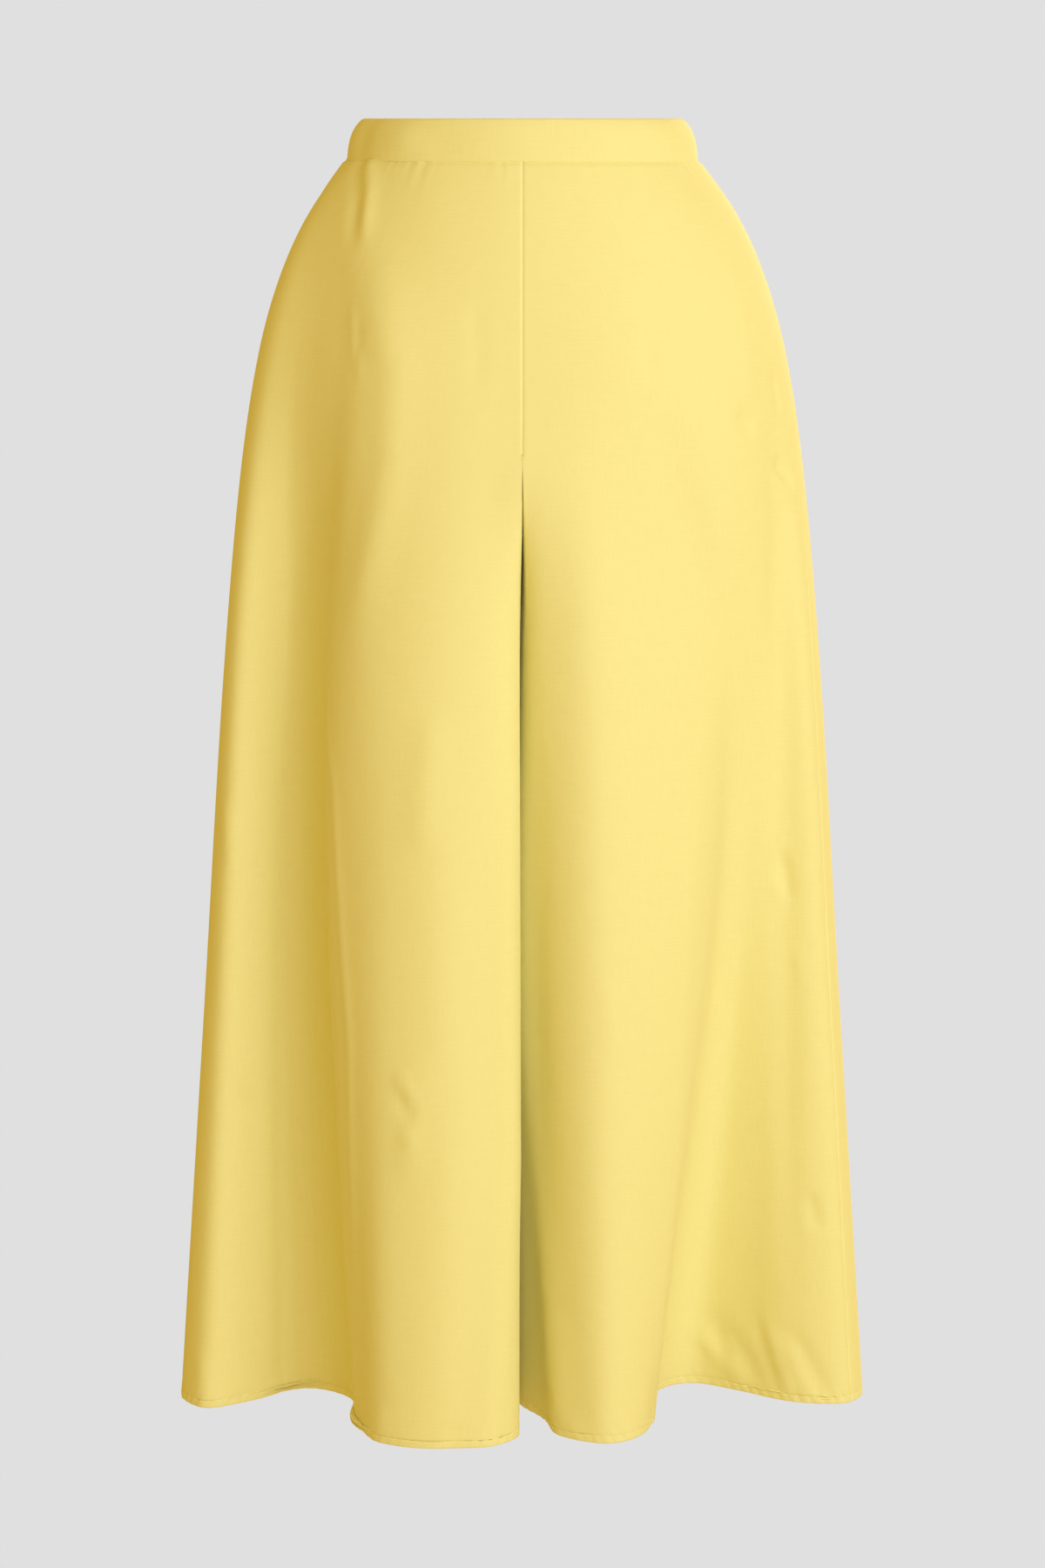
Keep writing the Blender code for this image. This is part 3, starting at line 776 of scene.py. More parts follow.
# Puckers of the turned hem: short slanting ripples that the stitch line draws up, at uneven places
# (the drift) and stronger in some patches than in others.
PUCKER_PITCH = 0.0092
PUCKER_SLANT = 0.55
PUCKER_SHARPNESS = 2.5
PUCKER_FADE = 0.0075
PUCKER_PATCH = 0.050
PUCKER_PATCH_SWING = 1.1
PUCKER_LEAST = 0.25
PUCKER_DRIFT = 3.5
PUCKER_DRIFT_SCALE = 2.4 * PUCKER_PITCH
PUCKER_REST = 0.3
PUCKER_SEED = {
    "right_leg_front": 3.1,
    "left_leg_front": 7.7,
    "right_leg_back": 12.4,
    "left_leg_back": 18.2,
}


def noise_row(values, scale, seed):
    """Smooth noise between -1 and 1 along a row of places."""
    return np.array([noise.noise(Vector((value / scale, seed, 0.5))) for value in values])


def pucker_offset(name, along, below, sizes):
    """How far the hem's puckers sink the cloth at a distance along it and below the stitch line."""
    flat = np.nan_to_num(along).ravel()
    drift = noise_row(flat, PUCKER_DRIFT_SCALE, PUCKER_SEED[name]).reshape(along.shape)
    patch = noise_row(flat, PUCKER_PATCH, PUCKER_SEED[name] + 40.0).reshape(along.shape)
    strength = mix(PUCKER_LEAST, 1.0, smoothstep(0.5 + PUCKER_PATCH_SWING * patch))
    phase = 2.0 * np.pi * (along + PUCKER_SLANT * below) / PUCKER_PITCH + PUCKER_DRIFT * drift
    notch = (0.5 + 0.5 * np.cos(phase)) ** PUCKER_SHARPNESS
    fade = np.exp(-np.abs(np.minimum(below, 0.0)) / PUCKER_FADE)
    return sizes.pucker_depth * strength * (PUCKER_REST - notch) * fade


def grid_normals(points, outward_sign):
    """Unit normals of a plain grid of points."""
    down = np.gradient(points, axis=0)
    across = np.gradient(points, axis=1)
    normal = np.cross(down, across) * outward_sign
    return normal / np.maximum(np.linalg.norm(normal, axis=2, keepdims=True), 1e-12)


def new_object(name, data):
    """An object for some data, put into the scene."""
    thing = bpy.data.objects.new(name, data)
    bpy.context.scene.collection.objects.link(thing)
    return thing


def make_piece(name, points, faces, uvs, material):
    """A smooth mesh object at the origin from arrays of points, faces and (across, down) metres."""
    mesh = bpy.data.meshes.new(name)
    mesh.from_pydata(points.tolist(), [], faces.tolist())
    layer = mesh.uv_layers.new(name="cloth")
    corners = np.empty(len(mesh.loops), np.int32)
    mesh.loops.foreach_get("vertex_index", corners)
    layer.data.foreach_set("uv", uvs[corners].astype(np.float32).ravel())
    mesh.shade_smooth()
    mesh.set_sharp_from_angle(angle=math.radians(SHARP_FROM_DEG))
    mesh.materials.append(material)
    mesh.validate()
    piece = new_object(name, mesh)
    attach(piece, "root")
    return piece


def rim_faces(quads, count):
    """Faces that join the open edges of a skin to the same edges of its inner copy."""
    starts = quads.ravel()
    ends = np.roll(quads, -1, axis=1).ravel()
    forward = starts.astype(np.int64) * count + ends
    backward = ends.astype(np.int64) * count + starts
    open_edges = ~np.isin(forward, backward)
    start = starts[open_edges]
    end = ends[open_edges]
    return np.stack([end, start, start + count, end + count], axis=1)


def cloth_shell(panel, thickness, material):
    """A thin closed shell: the panel's outer skin, the same skin moved in, and its rim."""
    valid = panel.valid().ravel()
    numbers = np.cumsum(valid) - 1
    outer = panel.points.reshape(-1, 3)[valid]
    normals = panel.normals().reshape(-1, 3)[valid]
    quads = numbers[panel.quads()]
    count = len(outer)
    points = np.concatenate([outer, outer - normals * thickness])
    faces = np.concatenate([quads, quads[:, ::-1] + count, rim_faces(quads, count)])
    along = panel.along().ravel()[valid]
    uv = np.stack([along, panel.drops.ravel()[valid]], axis=1)
    return make_piece(panel.name + "_cloth", points, faces, np.concatenate([uv, uv]), material)


# Cross-section of the turned hem: (share of its height down, share of its thickness in).
HEM_PROFILE = (
    (0.00, 0.16), (0.05, 0.06), (0.12, 0.01), (0.28, 0.00), (0.45, 0.00), (0.62, 0.00), (0.78, 0.00),
    (0.88, 0.03), (0.94, 0.12), (0.98, 0.28), (1.00, 0.50), (0.98, 0.72), (0.94, 0.88), (0.86, 0.98),
    (0.55, 1.00), (0.20, 1.00), (0.04, 0.94), (0.00, 0.75),
)
HEM_COLUMN_STEP = 0.0014
HEM_GRID_ROWS = 9


def hem_strip(panel, sizes, material):
    """The hem turned up inside: a rounded double-folded strip below the stitch line."""
    along = panel.along()
    reach = along[:, -1:]
    count = int(reach.max() / HEM_COLUMN_STEP)
    wanted = np.linspace(0.0, 1.0, count + 1)[None, :] * reach
    places = resample(panel.points, along, wanted)
    sign = panel.side * panel.facing
    normals = grid_normals(places, sign)
    low = wanted[-1]
    edge = np.minimum(low, low[-1] - low) / sizes.seam_width
    dip = sizes.seam_depth * np.exp(-(edge ** 2))
    rings = []
    for down, depth in HEM_PROFILE:
        place = down * (len(places) - 1)
        row = min(int(place), len(places) - 2)
        middle = mix(places[row], places[row + 1], place - row)
        normal = mix(normals[row], normals[row + 1], place - row)
        lift = pucker_offset(panel.name, low, down * sizes.hem_height + 0.0 * low, sizes) - dip
        rings.append(middle + normal * (lift - depth * sizes.hem_thickness)[:, None])
    section = np.array(HEM_PROFILE) * (sizes.hem_height, sizes.hem_thickness)
    down = section.sum(axis=1) + hem_line(sizes)
    return ring_piece(panel.name + "_hem", np.stack(rings), low, down, sign < 0.0, material)


def ring_piece(name, grid, along, down, forward, material, first_corner=0):
    """A strip from a grid of points whose rows close into a ring, with a fan over both its ends.

    `forward` says which way round its faces go, and `first_corner` where each of them starts.
    """
    height, width = grid.shape[:2]
    row, column = np.meshgrid(np.arange(height), np.arange(width - 1), indexing="ij")
    here = row * width + column
    below = (row + 1) % height * width + column
    quads = np.stack([here, here + 1, below + 1, below], axis=-1).reshape(-1, 4)
    if not forward:
        quads = quads[:, ::-1]
    points = np.concatenate([grid.reshape(-1, 3), [grid[:, 0].mean(axis=0), grid[:, -1].mean(axis=0)]])
    uv = np.stack(np.broadcast_arrays(along[None, :], down[:, None]), axis=-1).reshape(-1, 2)
    uv = np.concatenate([uv, uv[:1], uv[width - 1:width]])
    piece = make_piece(name, points, np.roll(quads, -first_corner, axis=1), uv, material)
    bm = bmesh.new()
    bm.from_mesh(piece.data)
    bm.verts.ensure_lookup_table()
    for column, centre in ((0, height * width), (width - 1, height * width + 1)):
        for row in range(height):
            near = bm.verts[row * width + column]
            far = bm.verts[(row + 1) % height * width + column]
            corners = [near, far, bm.verts[centre]]
            if (column == 0) != forward:
                corners.reverse()
            bm.faces.new(corners).smooth = True
    bm.normal_update()
    bm.to_mesh(piece.data)
    bm.free()
    return piece


# The waistband. Its cross-section: (drop, depth into the band), with a folded top edge and a
# tighter turned edge at the seam.
BAND_TOP_ROUND = 0.0011
BAND_FOOT_ROUND = 0.0006
BAND_ROWS = 13
ROUND_STEPS = 4
BAND_COLUMNS = {FRONT: 150, BACK: 384}
BAND_GATHERS = 32
BAND_GATHER_DRIFT = 0.22
BAND_GATHER_LEAN = 0.25
BAND_GATHER_MIDDLE = 0.75
BAND_GATHER_SWING = 0.35
BAND_FINE_COUNT = 2.37
BAND_FINE_HEIGHT = 0.22
BAND_FINE_DRIFT = 0.5
BAND_END_FADE = 0.010
BAND_ARC = 0.86 * math.pi * WAIST_HALF_WIDTH
BAND_TOP_HOLD = 0.35
BAND_TOP_REACH = 0.004
BAND_NORMAL_STEP = 0.0005


def quarter_round(drop, depth, radius, start, steps):
    """Points of a quarter circle about (drop, depth), from the angle `start` on."""
    angles = start + np.linspace(0.0, 0.5 * math.pi, steps)
    return [(drop + radius * math.cos(angle), depth + radius * math.sin(angle)) for angle in angles]


def band_section(thickness):
    """The band's closed cross-section, down its outer face and back up its inner face."""
    top = BAND_TOP_ROUND
    foot = BAND_FOOT_ROUND
    low = BAND_HEIGHT - foot
    quarter = 0.5 * math.pi
    section = quarter_round(top, top, top, math.pi, ROUND_STEPS + 1)
    section += [(mix(top, low, row / BAND_ROWS), 0.0) for row in range(1, BAND_ROWS)]
    section += quarter_round(low, foot, foot, -quarter, ROUND_STEPS)
    section += quarter_round(low, thickness - foot, foot, 0.0, ROUND_STEPS)
    section += [(mix(top, low, row / BAND_ROWS), thickness) for row in range(BAND_ROWS - 1, 0, -2)]
    section += quarter_round(top, thickness - top, top, quarter, ROUND_STEPS + 1)[:-1]
    return section


def band_skin(angles, drop, swell):
    """Points of the band's outer skin at one drop, over the angles from side to side."""
    lean = 1.0 - math.exp(-max(drop, 0.0) / BAND_LEAN_REACH)
    half_width = WAIST_HALF_WIDTH - BAND_LEAN_SIDE * (1.0 - lean) + swell
    half_depth = WAIST_HALF_DEPTH - BAND_LEAN_FRONT * (1.0 - lean) + swell
    height = np.full_like(angles, TOP - drop)
    return np.stack([half_width * np.cos(angles), half_depth * np.sin(angles), height], axis=1)


# Soft dents of the front band: angle from the wearer's left side, drop, reach across and down,
# and height, where a trough is negative.
Dent = namedtuple("Dent", "angle_deg drop across down height")
BAND_DENTS = (
    Dent(157.0, 0.014, 7.0, 0.022, -0.0022),
    Dent(133.0, 0.015, 8.0, 0.014, 0.0014),
    Dent(116.0, 0.021, 8.0, 0.010, -0.0007),
    Dent(97.0, 0.010, 9.0, 0.011, 0.0005),
    Dent(78.0, 0.018, 9.0, 0.012, -0.0006),
    Dent(61.0, 0.012, 8.0, 0.013, 0.0007),
    Dent(47.0, 0.020, 7.0, 0.011, -0.0009),
    Dent(27.0, 0.011, 7.0, 0.012, 0.0007),
)


def front_swell(angles, drop, sizes):
    """The front band's slight unevenness."""
    swell = np.zeros_like(angles)
    for dent in BAND_DENTS:
        across = (np.degrees(angles) - dent.angle_deg) / dent.across
        down = (drop - dent.drop) / dent.down
        swell += dent.height * np.exp(-(across ** 2) - down ** 2)
    return swell


def back_swell(angles, drop, sizes):
    """Uneven upright gathers that the elastic draws into the back band, held along its top edge."""
    place = angles / math.pi * BAND_GATHERS
    drift = noise_row(place, 2.7, 5.5)
    size = BAND_GATHER_MIDDLE + BAND_GATHER_SWING * noise_row(place, 1.9, 9.5)
    lean = BAND_GATHER_LEAN * noise_row(place, 4.0, 2.5) * (drop / BAND_HEIGHT - 0.5)
    wave = np.cos(2.0 * math.pi * (place + BAND_GATHER_DRIFT * drift + lean))
    fine = np.cos(2.0 * math.pi * (BAND_FINE_COUNT * place + BAND_FINE_DRIFT * drift))
    fine = BAND_FINE_HEIGHT * fine * math.sin(math.pi * drop / BAND_HEIGHT)
    held = 1.0 - BAND_TOP_HOLD * math.exp(-(drop / BAND_TOP_REACH) ** 2)
    return sizes.gather_depth * held * size * (wave + fine)


def band_half(name, facing, sizes, material):
    """One half of the waistband, from side seam to side seam."""
    seam = 0.5 * SEAM_GAP / WAIST_HALF_DEPTH
    angles = np.linspace(seam, math.pi - seam, BAND_COLUMNS[facing] + 1)
    edge = np.minimum(angles, math.pi - angles) / math.pi * BAND_ARC
    fade = smoothstep(edge / BAND_END_FADE)
    groove = sizes.seam_depth * np.exp(-((edge / sizes.seam_width) ** 2))
    swell_of = front_swell if facing == FRONT else back_swell
    section = np.array(band_section(sizes.band_thickness))
    rings = []
    for drop, depth in section:
        swell = swell_of(angles, drop, sizes) * fade
        middle = band_skin(angles, drop, swell)
        above = band_skin(angles, drop - BAND_NORMAL_STEP, swell)
        normal = np.cross(np.gradient(middle, axis=0), middle - above)
        normal /= np.linalg.norm(normal, axis=1, keepdims=True)
        normal *= np.sign((normal[:, :2] * middle[:, :2]).sum(axis=1, keepdims=True))
        place = middle - normal * (depth + groove)[:, None]
        place[:, 1] *= facing
        rings.append(place)
    grid = np.stack(rings)
    around = run_length(grid[BAND_ROWS])
    return ring_piece(
        name + "_cloth", grid, around, run_length(section), facing == FRONT, material, first_corner=1
    )


def run_length(points):
    """Distance of each point of a row from its first."""
    return np.cumsum(np.linalg.norm(np.diff(points, axis=0, prepend=points[:1]), axis=1))


# Materials.
WARP_PITCH = 0.00036
WEFT_PITCH = 0.00046


def set_inputs(tree, node, inputs):
    """Set a node's inputs, each to a plain value or to another node's output."""
    for name, value in inputs.items():
        if isinstance(value, bpy.types.NodeSocket):
            tree.links.new(value, node.inputs[name])
        else:
            node.inputs[name].default_value = value


def add_node(tree, kind, inputs):
    """A new shader node with its inputs set."""
    node = tree.nodes.new("ShaderNode" + kind)
    set_inputs(tree, node, inputs)
    return node


def math_node(tree, operation, *values):
    """A Math node whose inputs are numbers or sockets."""
    node = add_node(tree, "Math", dict(enumerate(values)))
    node.operation = operation
    return node.outputs[0]


def weighted_sum(tree, first, first_weight, second, second_weight):
    """Two outputs added up, each times its weight."""
    first = math_node(tree, "MULTIPLY", first, first_weight)
    second = math_node(tree, "MULTIPLY", second, second_weight)
    return math_node(tree, "ADD", first, second)


def stretched_noise(tree, place, across, down, detail, roughness=0.55):
    """Noise on the cloth's own coordinates, with a scale across and a scale down it."""
    mapping = add_node(tree, "Mapping", {"Vector": place, "Scale": (across, down, 1.0)})
    grain = add_node(tree, "TexNoise", {
        "Vector": mapping.outputs["Vector"], "Scale": 1.0, "Detail": detail, "Roughness": roughness,
    })
    return grain.outputs["Fac"]


def shades(tree, tone, low, low_colour, high, high_colour):
    """Colours between two ends, picked by a tone."""
    ramp = add_node(tree, "ValToRGB", {"Fac": tone})
    for element, place, colour in zip(ramp.color_ramp.elements, (low, high), (low_colour, high_colour)):
        element.position = place
        element.color = (*colour, 1.0)
    return ramp.outputs["Color"]


def shaded(colour, share):
    """A colour made darker or paler."""
    return [min(value * share, 1.0) for value in colour]


def new_material(name):
    """A material with its node tree and its one surface shader."""
    material = bpy.data.materials.new(name)
    material.use_nodes = True
    return material, material.node_tree, material.node_tree.nodes["Principled BSDF"]


def poplin(colours):
    """Plain weave cotton poplin: fine ribs, slightly uneven threads, matte with a faint sheen."""
    material, tree, surface = new_material("yellow_poplin")
    cloth = add_node(tree, "UVMap", {})
    cloth.uv_map = "cloth"
    place = cloth.outputs["UV"]
    parts = add_node(tree, "SeparateXYZ", {"Vector": place})
    ribs = [
        math_node(tree, "SINE", math_node(tree, "MULTIPLY", parts.outputs[axis], math.tau / pitch))
        for axis, pitch in (("X", WARP_PITCH), ("Y", WEFT_PITCH))
    ]
    weave = math_node(tree, "MULTIPLY", *ribs)
    slubs = stretched_noise(tree, place, 900.0, 60.0, 2.0)
    cross_slubs = stretched_noise(tree, place, 45.0, 1100.0, 2.0)
    crumple = stretched_noise(tree, place, 70.0, 38.0, 3.0, 0.5)
    tone = weighted_sum(tree, slubs, 0.5, cross_slubs, 0.5)
    colour = shades(tree, tone, 0.30, shaded(colours.poplin, 0.965), 0.70, shaded(colours.poplin, 1.02))
    soft = add_node(tree, "Bump", {"Height": crumple, "Strength": 0.5, "Distance": 0.0006})
    fine = add_node(tree, "Bump", {
        "Height": weighted_sum(tree, weave, 0.10, tone, 0.35), "Strength": 0.35, "Distance": 0.00012,
        "Normal": soft.outputs["Normal"],
    })
    set_inputs(tree, surface, {
        "Base Color": colour, "Normal": fine.outputs["Normal"], "Roughness": 0.72,
        "Specular IOR Level": 0.35, "Sheen Weight": 0.25, "Sheen Roughness": 0.45,
        "Sheen Tint": (1.0, 0.97, 0.85, 1.0),
    })
    return material


def thread(colours):
    """Matching polyester sewing thread."""
    material, tree, surface = new_material("yellow_thread")
    place = add_node(tree, "TexCoord", {}).outputs["Object"]
    twist = add_node(tree, "TexNoise", {"Vector": place, "Scale": 2500.0, "Detail": 1.0}).outputs["Fac"]
    bump = add_node(tree, "Bump", {"Height": twist, "Strength": 0.4, "Distance": 0.00005})
    colour = shades(tree, twist, 0.0, shaded(colours.thread, 0.94), 1.0, colours.thread)
    set_inputs(tree, surface, {
        "Base Color": colour, "Normal": bump.outputs["Normal"], "Roughness": 0.45,
    })
    return material


# Stitches.
STITCH_GUIDE_STEP = 0.003
STITCH_END_GAP = 0.004
STITCH_STANDS_OUT = 0.35


def stitch_row(name, path, sizes, material):
    """A row of stitches along a line of points, modelled once and repeated."""
    bpy.ops.object.select_all(action="DESELECT")
    pitch = sizes.stitch_length + sizes.stitch_gap
    bpy.ops.mesh.primitive_uv_sphere_add(segments=6, ring_count=4, radius=0.5)
    stitch = bpy.context.object
    bpy.ops.object.mode_set(mode="EDIT")
    bpy.ops.transform.rotate(value=math.pi / 2.0, orient_axis="Y", center_override=(0.0, 0.0, 0.0))
    bpy.ops.transform.resize(value=(sizes.stitch_length, sizes.stitch_width, sizes.stitch_width))
    bpy.ops.transform.translate(value=(0.5 * sizes.stitch_length, 0.0, 0.0))
    bpy.ops.object.mode_set(mode="OBJECT")
    repeat = stitch.modifiers.new("repeat", "ARRAY")
    repeat.use_relative_offset = False
    repeat.use_constant_offset = True
    repeat.constant_offset_displace = (pitch, 0.0, 0.0)
    repeat.count = max(int((run_length(path)[-1] - sizes.stitch_length) / pitch), 1)
    guide = bpy.data.curves.new(name + "_guide", "CURVE")
    guide.dimensions = "3D"
    spline = guide.splines.new("POLY")
    spline.points.add(len(path) - 1)
    places = np.hstack([path, np.ones((len(path), 1))])
    spline.points.foreach_set("co", places.astype(np.float32).ravel())
    line = new_object(name + "_guide", guide)
    bend = stitch.modifiers.new("bend", "CURVE")
    bend.object = line
    bend.deform_axis = "POS_X"
    bpy.context.view_layer.update()
    for modifier in ("repeat", "bend"):
        bpy.ops.object.modifier_apply(modifier=modifier)
    bpy.data.objects.remove(line, do_unlink=True)
    stitch.name = name
    stitch.data.name = name
    stitch.data.shade_smooth()
    stitch.data.materials.append(material)
    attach(stitch, "root")
    return stitch


def hem_stitches(panel, sizes, material):
    """The stitch line that holds a panel's hem."""
    along = panel.along()[:1]
    count = int(along[0, -1] / STITCH_GUIDE_STEP)
    wanted = np.linspace(STITCH_END_GAP, along[0, -1] - STITCH_END_GAP, count)
    normals = grid_normals(panel.points, panel.side * panel.facing)
    line = resample(panel.points[:1], along, [wanted])[0]
    out = resample(normals[:1], along, [wanted])[0]
    lift = pucker_offset(panel.name, wanted, np.zeros_like(wanted), sizes)
    sink = HEM_PROFILE[0][1] * sizes.hem_thickness - STITCH_STANDS_OUT * sizes.stitch_width
    path = line + out * (lift - sink)[:, None]
    return stitch_row(panel.name + "_hem_stitches", path, sizes, material)


# The stage: an even pale floor and backdrop, and large soft lamps. The front ones are a little cool
# and the light from all round is warm, so the folds are golden in the shade, as in the photograph.
CAMERA_DISTANCE = 3.06
CAMERA_PITCH_DEG = 9.611
CAMERA_LENS = 90.24
CAMERA_SENSOR = 36.0
FLOOR_DROP = 1.28
FLOOR_RADIUS = 14.0
FILL_STRENGTH = 0.62
Lamp = namedtuple("Lamp", "name azimuth_deg elevation_deg distance width height power colour")
LAMPS = (
    Lamp("key_light", 40.0, 14.0, 3.4, 1.8, 2.0, 36.0, (0.92, 1.0, 1.0)),
    Lamp("front_light", 15.0, 12.0, 3.4, 1.8, 2.0, 31.5, (0.92, 1.0, 1.0)),
    Lamp("side_light", 90.0, 12.0, 3.4, 1.8, 2.0, 6.0, (1.0, 0.90, 0.70)),
    Lamp("back_light", 148.0, 20.0, 3.6, 2.0, 2.0, 62.0, (1.0, 0.86, 0.60)),
)


def make_lamp(lamp, centre):
    """One large soft light, placed by its angle round the trousers and turned to them."""
    turn = math.radians(lamp.azimuth_deg)
    rise = math.radians(lamp.elevation_deg)
    light = bpy.data.lights.new(lamp.name, "AREA")
    light.shape = "RECTANGLE"
    light.size = lamp.width
    light.size_y = lamp.height
    light.energy = lamp.power
    light.color = lamp.colour
    flat = lamp.distance * math.cos(rise)
    away = Vector((flat * math.sin(turn), -flat * math.cos(turn), lamp.distance * math.sin(rise)))
    thing = new_object(lamp.name, light)
    thing.location = centre + away
    thing.rotation_euler = (centre - thing.location).to_track_quat("-Z", "Y").to_euler()


def make_floor(colours):
    """A wide pale floor, evenly bright, so that no horizon shows. It lights nothing."""
    bpy.ops.object.select_all(action="DESELECT")
    bpy.ops.mesh.primitive_circle_add(
        vertices=96, radius=FLOOR_RADIUS, fill_type="NGON", location=(0.0, 0.0, TOP - FLOOR_DROP)
    )
    floor = bpy.context.object
    floor.name = "floor"
    material, tree, surface = new_material("pale_floor")
    set_inputs(tree, surface, {
        "Base Color": (*colours.floor, 1.0), "Roughness": 0.9, "Specular IOR Level": 0.0,
        "Emission Color": (*colours.backdrop, 1.0), "Emission Strength": 1.0,
    })
    floor.data.materials.append(material)
    floor.visible_diffuse = False
    floor.visible_glossy = False
    floor.visible_shadow = False


def make_backdrop(colours):
    """An even pale grey for the camera, and a warm light from all round for the cloth."""
    world = bpy.data.worlds.new("studio")
    bpy.context.scene.world = world
    world.use_nodes = True
    tree = world.node_tree
    shown = tree.nodes["Background"]
    set_inputs(tree, shown, {"Color": (*colours.backdrop, 1.0), "Strength": 1.0})
    lit = add_node(tree, "Background", {"Color": (*colours.fill, 1.0), "Strength": FILL_STRENGTH})
    path = add_node(tree, "LightPath", {})
    either = add_node(tree, "MixShader", {
        "Fac": path.outputs["Is Camera Ray"], 1: lit.outputs[0], 2: shown.outputs[0],
    })
    set_inputs(tree, tree.nodes["World Output"], {"Surface": either.outputs[0]})


def make_camera():
    """The photograph's view: level with the top edge, tipped a little down."""
    data = bpy.data.cameras.new("camera")
    data.lens = CAMERA_LENS
    data.sensor_width = CAMERA_SENSOR
    camera = new_object("camera", data)
    camera.location = (0.0, -CAMERA_DISTANCE, TOP)
    camera.rotation_euler = (math.radians(90.0 - CAMERA_PITCH_DEG), 0.0, 0.0)
    bpy.context.scene.camera = camera


# What a user of the add-on can change.
def length_setting(name, default, description):
    """A length in metres."""
    return FloatProperty(name=name, description=description, default=default, unit="LENGTH")


def colour_setting(name, default, description):
    """A colour."""
    return FloatVectorProperty(
        name=name, description=description, default=default, subtype="COLOR", size=3, min=0.0, max=1.0
    )


class PantsSizes(bpy.types.PropertyGroup):
    """Sizes of the cloth and its sewing."""

    cloth_thickness: length_setting("Cloth thickness", 0.0006, "Thickness of the poplin")
    band_thickness: length_setting("Band thickness", 0.0022, "Thickness of the layered waistband")
    band_step: length_setting("Band step", 0.0007, "How far the waistband stands out over the panels")
    gather_depth: length_setting("Gather depth", 0.0011, "How far the gathers of the back band stand out")
    seam_depth: length_setting("Seam depth", 0.0007, "How deep a seam lies between its panels")
    seam_width: length_setting("Seam width", 0.0010, "How far a seam's dip reaches into a panel")
    hem_height: length_setting("Hem height", 0.0064, "Height of the turned hem")
    hem_thickness: length_setting("Hem thickness", 0.0013, "Thickness of the turned hem")
    pucker_depth: length_setting("Pucker depth", 0.00075, "How far the hem's puckers stand out")
    stitch_length: length_setting("Stitch length", 0.0024, "Length of one hem stitch")
    stitch_gap: length_setting("Stitch gap", 0.0004, "Gap between two hem stitches")
    stitch_width: length_setting("Stitch width", 0.0003, "Thickness of the sewing thread")
    crease_strength: FloatProperty(
        name="Crease strength", description="Share of the creases' full height",
        default=1.0, subtype="FACTOR",
    )


class PantsColours(bpy.types.PropertyGroup):
    """Colours of the cloth and the studio."""

    poplin: colour_setting("Poplin", (0.872, 0.84, 0.43), "Colour of the cloth")
    thread: colour_setting("Thread", (0.81, 0.77, 0.37), "Colour of the sewing thread")
    floor: colour_setting("Floor", (0.0, 0.0, 0.0), "What the floor reflects, besides its own even glow")
    backdrop: colour_setting("Backdrop", (0.745, 0.745, 0.745), "Colour of the backdrop and floor")
    fill: colour_setting("Fill light", (1.0, 0.66, 0.12), "Colour of the light from all round")


PIECE_KIT = {}


def shared_material(maker):
    """The one material that all pieces of a kind share."""
    if maker not in PIECE_KIT:
        PIECE_KIT[maker] = maker(bpy.context.scene.pants_colours)
    return PIECE_KIT[maker]


def shaped_panels(sizes):
    """The four panels with their creases, as pairs of the cloth above the hem line and the hem."""
    if "panels" not in PIECE_KIT:
        line = hem_line(sizes)
        rows, split = row_drops(line)
        full_rows = np.concatenate([rows, np.linspace(line, LENGTH, HEM_GRID_ROWS)])
        pairs = []
        for side in (RIGHT, LEFT):
            for panel in leg_panels(side, full_rows, split):
                press_creases(panel, sizes)
                press_gathers(panel, sizes)
                pairs.append((panel.cut(0, rows.size), panel.cut(rows.size, full_rows.size)))
        PIECE_KIT["panels"] = pairs
    return PIECE_KIT["panels"]


# The two halves of the waistband: the name of its part, which way it faces, and how it is made.
BAND_HALVES = (("waistband_front", FRONT, "folded"), ("waistband_back", BACK, "gathered"))


class PANTS_OT_hems(bpy.types.Operator):
    """Build the turned hem of each leg panel"""

    bl_idname = "pants.hems"
    bl_label = "Hems"

    def execute(self, context):
        sizes = context.scene.pants_sizes
        for _, hem in shaped_panels(sizes):
            strip = hem_strip(hem, sizes, shared_material(poplin))
        return {"FINISHED"}


class PANTS_OT_stitches(bpy.types.Operator):
    """Sew the stitch line over each hem"""

    bl_idname = "pants.stitches"
    bl_label = "Hem Stitches"

    def execute(self, context):
        sizes = context.scene.pants_sizes
        for _, hem in shaped_panels(sizes):
            hem_stitches(hem, sizes, shared_material(thread))
        return {"FINISHED"}


class PANTS_OT_legs(bpy.types.Operator):
    """Build the four leg panels above their hems"""

    bl_idname = "pants.legs"
    bl_label = "Leg Panels"

    def execute(self, context):
        sizes = context.scene.pants_sizes
        for cloth, _ in shaped_panels(sizes):
            below = cloth.drops - hem_line(sizes)
            cloth.push(np.nan_to_num(pucker_offset(cloth.name, cloth.along(), below, sizes)))
            press_seams(cloth, sizes)
            piece = cloth_shell(cloth, sizes.cloth_thickness, shared_material(poplin))
            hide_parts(cloth.name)
        return {"FINISHED"}


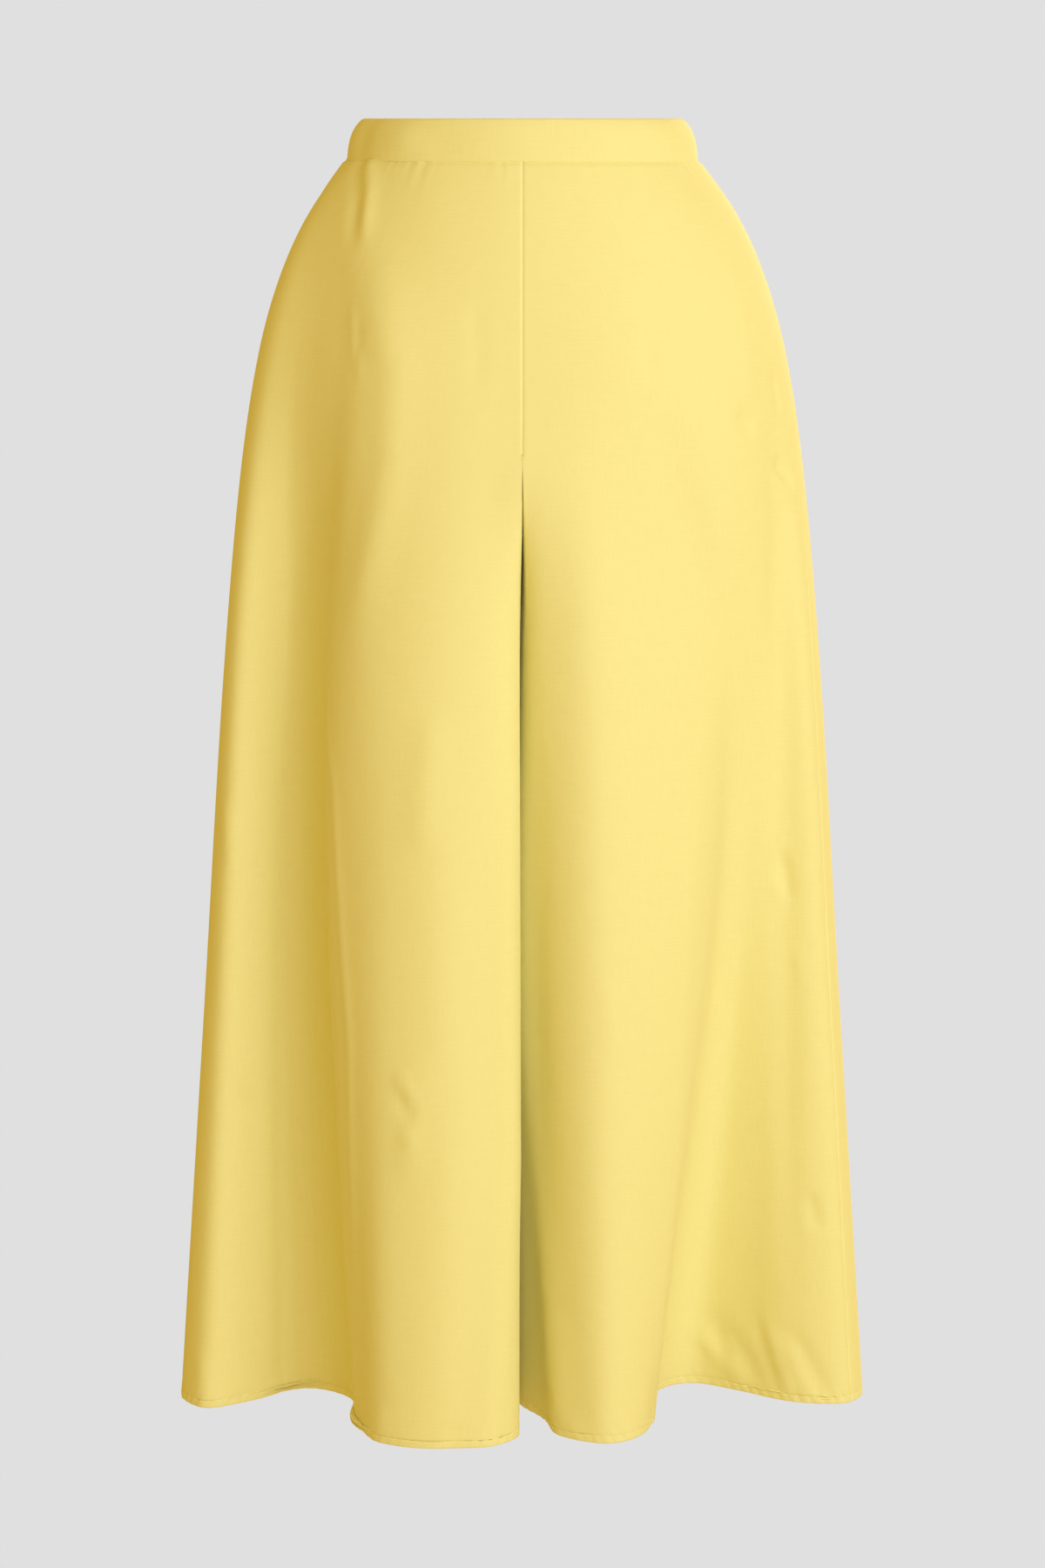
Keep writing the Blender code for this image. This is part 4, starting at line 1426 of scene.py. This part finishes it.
class PANTS_OT_waistband(bpy.types.Operator):
    """Build the flat front and the gathered back of the waistband"""

    bl_idname = "pants.waistband"
    bl_label = "Waistband"

    def execute(self, context):
        for name, facing, held in BAND_HALVES:
            piece = band_half(name, facing, context.scene.pants_sizes, shared_material(poplin))
            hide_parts(name)
        return {"FINISHED"}


class PANTS_OT_stage(bpy.types.Operator):
    """Set up the pale floor, the soft lights and the camera"""

    bl_idname = "pants.stage"
    bl_label = "Studio"

    def execute(self, context):
        colours = context.scene.pants_colours
        low, high = CAD_BOX
        for lamp in LAMPS:
            make_lamp(lamp, 0.5 * (low + high))
        make_floor(colours)
        make_backdrop(colours)
        make_camera()
        context.scene.view_settings.view_transform = "Standard"
        return {"FINISHED"}


class PANTS_PT_panel(bpy.types.Panel):
    """Lists the trousers' pieces, sizes and colours in the sidebar"""

    bl_idname = "PANTS_PT_panel"
    bl_label = "Palazzo Pants"
    bl_space_type = "VIEW_3D"
    bl_region_type = "UI"
    bl_category = "Palazzo Pants"

    def draw(self, context):
        column = self.layout.column()
        for operator in OPERATORS:
            column.operator(operator.bl_idname)
        for group in (context.scene.pants_sizes, context.scene.pants_colours):
            for name in group.bl_rna.properties.keys():
                if name not in ("rna_type", "name"):
                    column.prop(group, name)


OPERATORS = (
    PANTS_OT_stage, PANTS_OT_hems, PANTS_OT_stitches, PANTS_OT_legs, PANTS_OT_waistband,
)
CLASSES = (PantsSizes, PantsColours, *OPERATORS, PANTS_PT_panel)


def register():
    """Add the add-on's classes and its scene properties."""
    for entry in CLASSES:
        bpy.utils.register_class(entry)
    bpy.types.Scene.pants_sizes = PointerProperty(type=PantsSizes)
    bpy.types.Scene.pants_colours = PointerProperty(type=PantsColours)


def unregister():
    """Remove them again."""
    del bpy.types.Scene.pants_colours
    del bpy.types.Scene.pants_sizes
    for entry in reversed(CLASSES):
        bpy.utils.unregister_class(entry)


def main():
    """Register the add-on and build the stage and every piece."""
    register()
    bpy.ops.pants.stage()
    bpy.ops.pants.hems()
    bpy.ops.pants.stitches()
    bpy.ops.pants.legs()
    bpy.ops.pants.waistband()


if __name__ == "__main__":
    main()
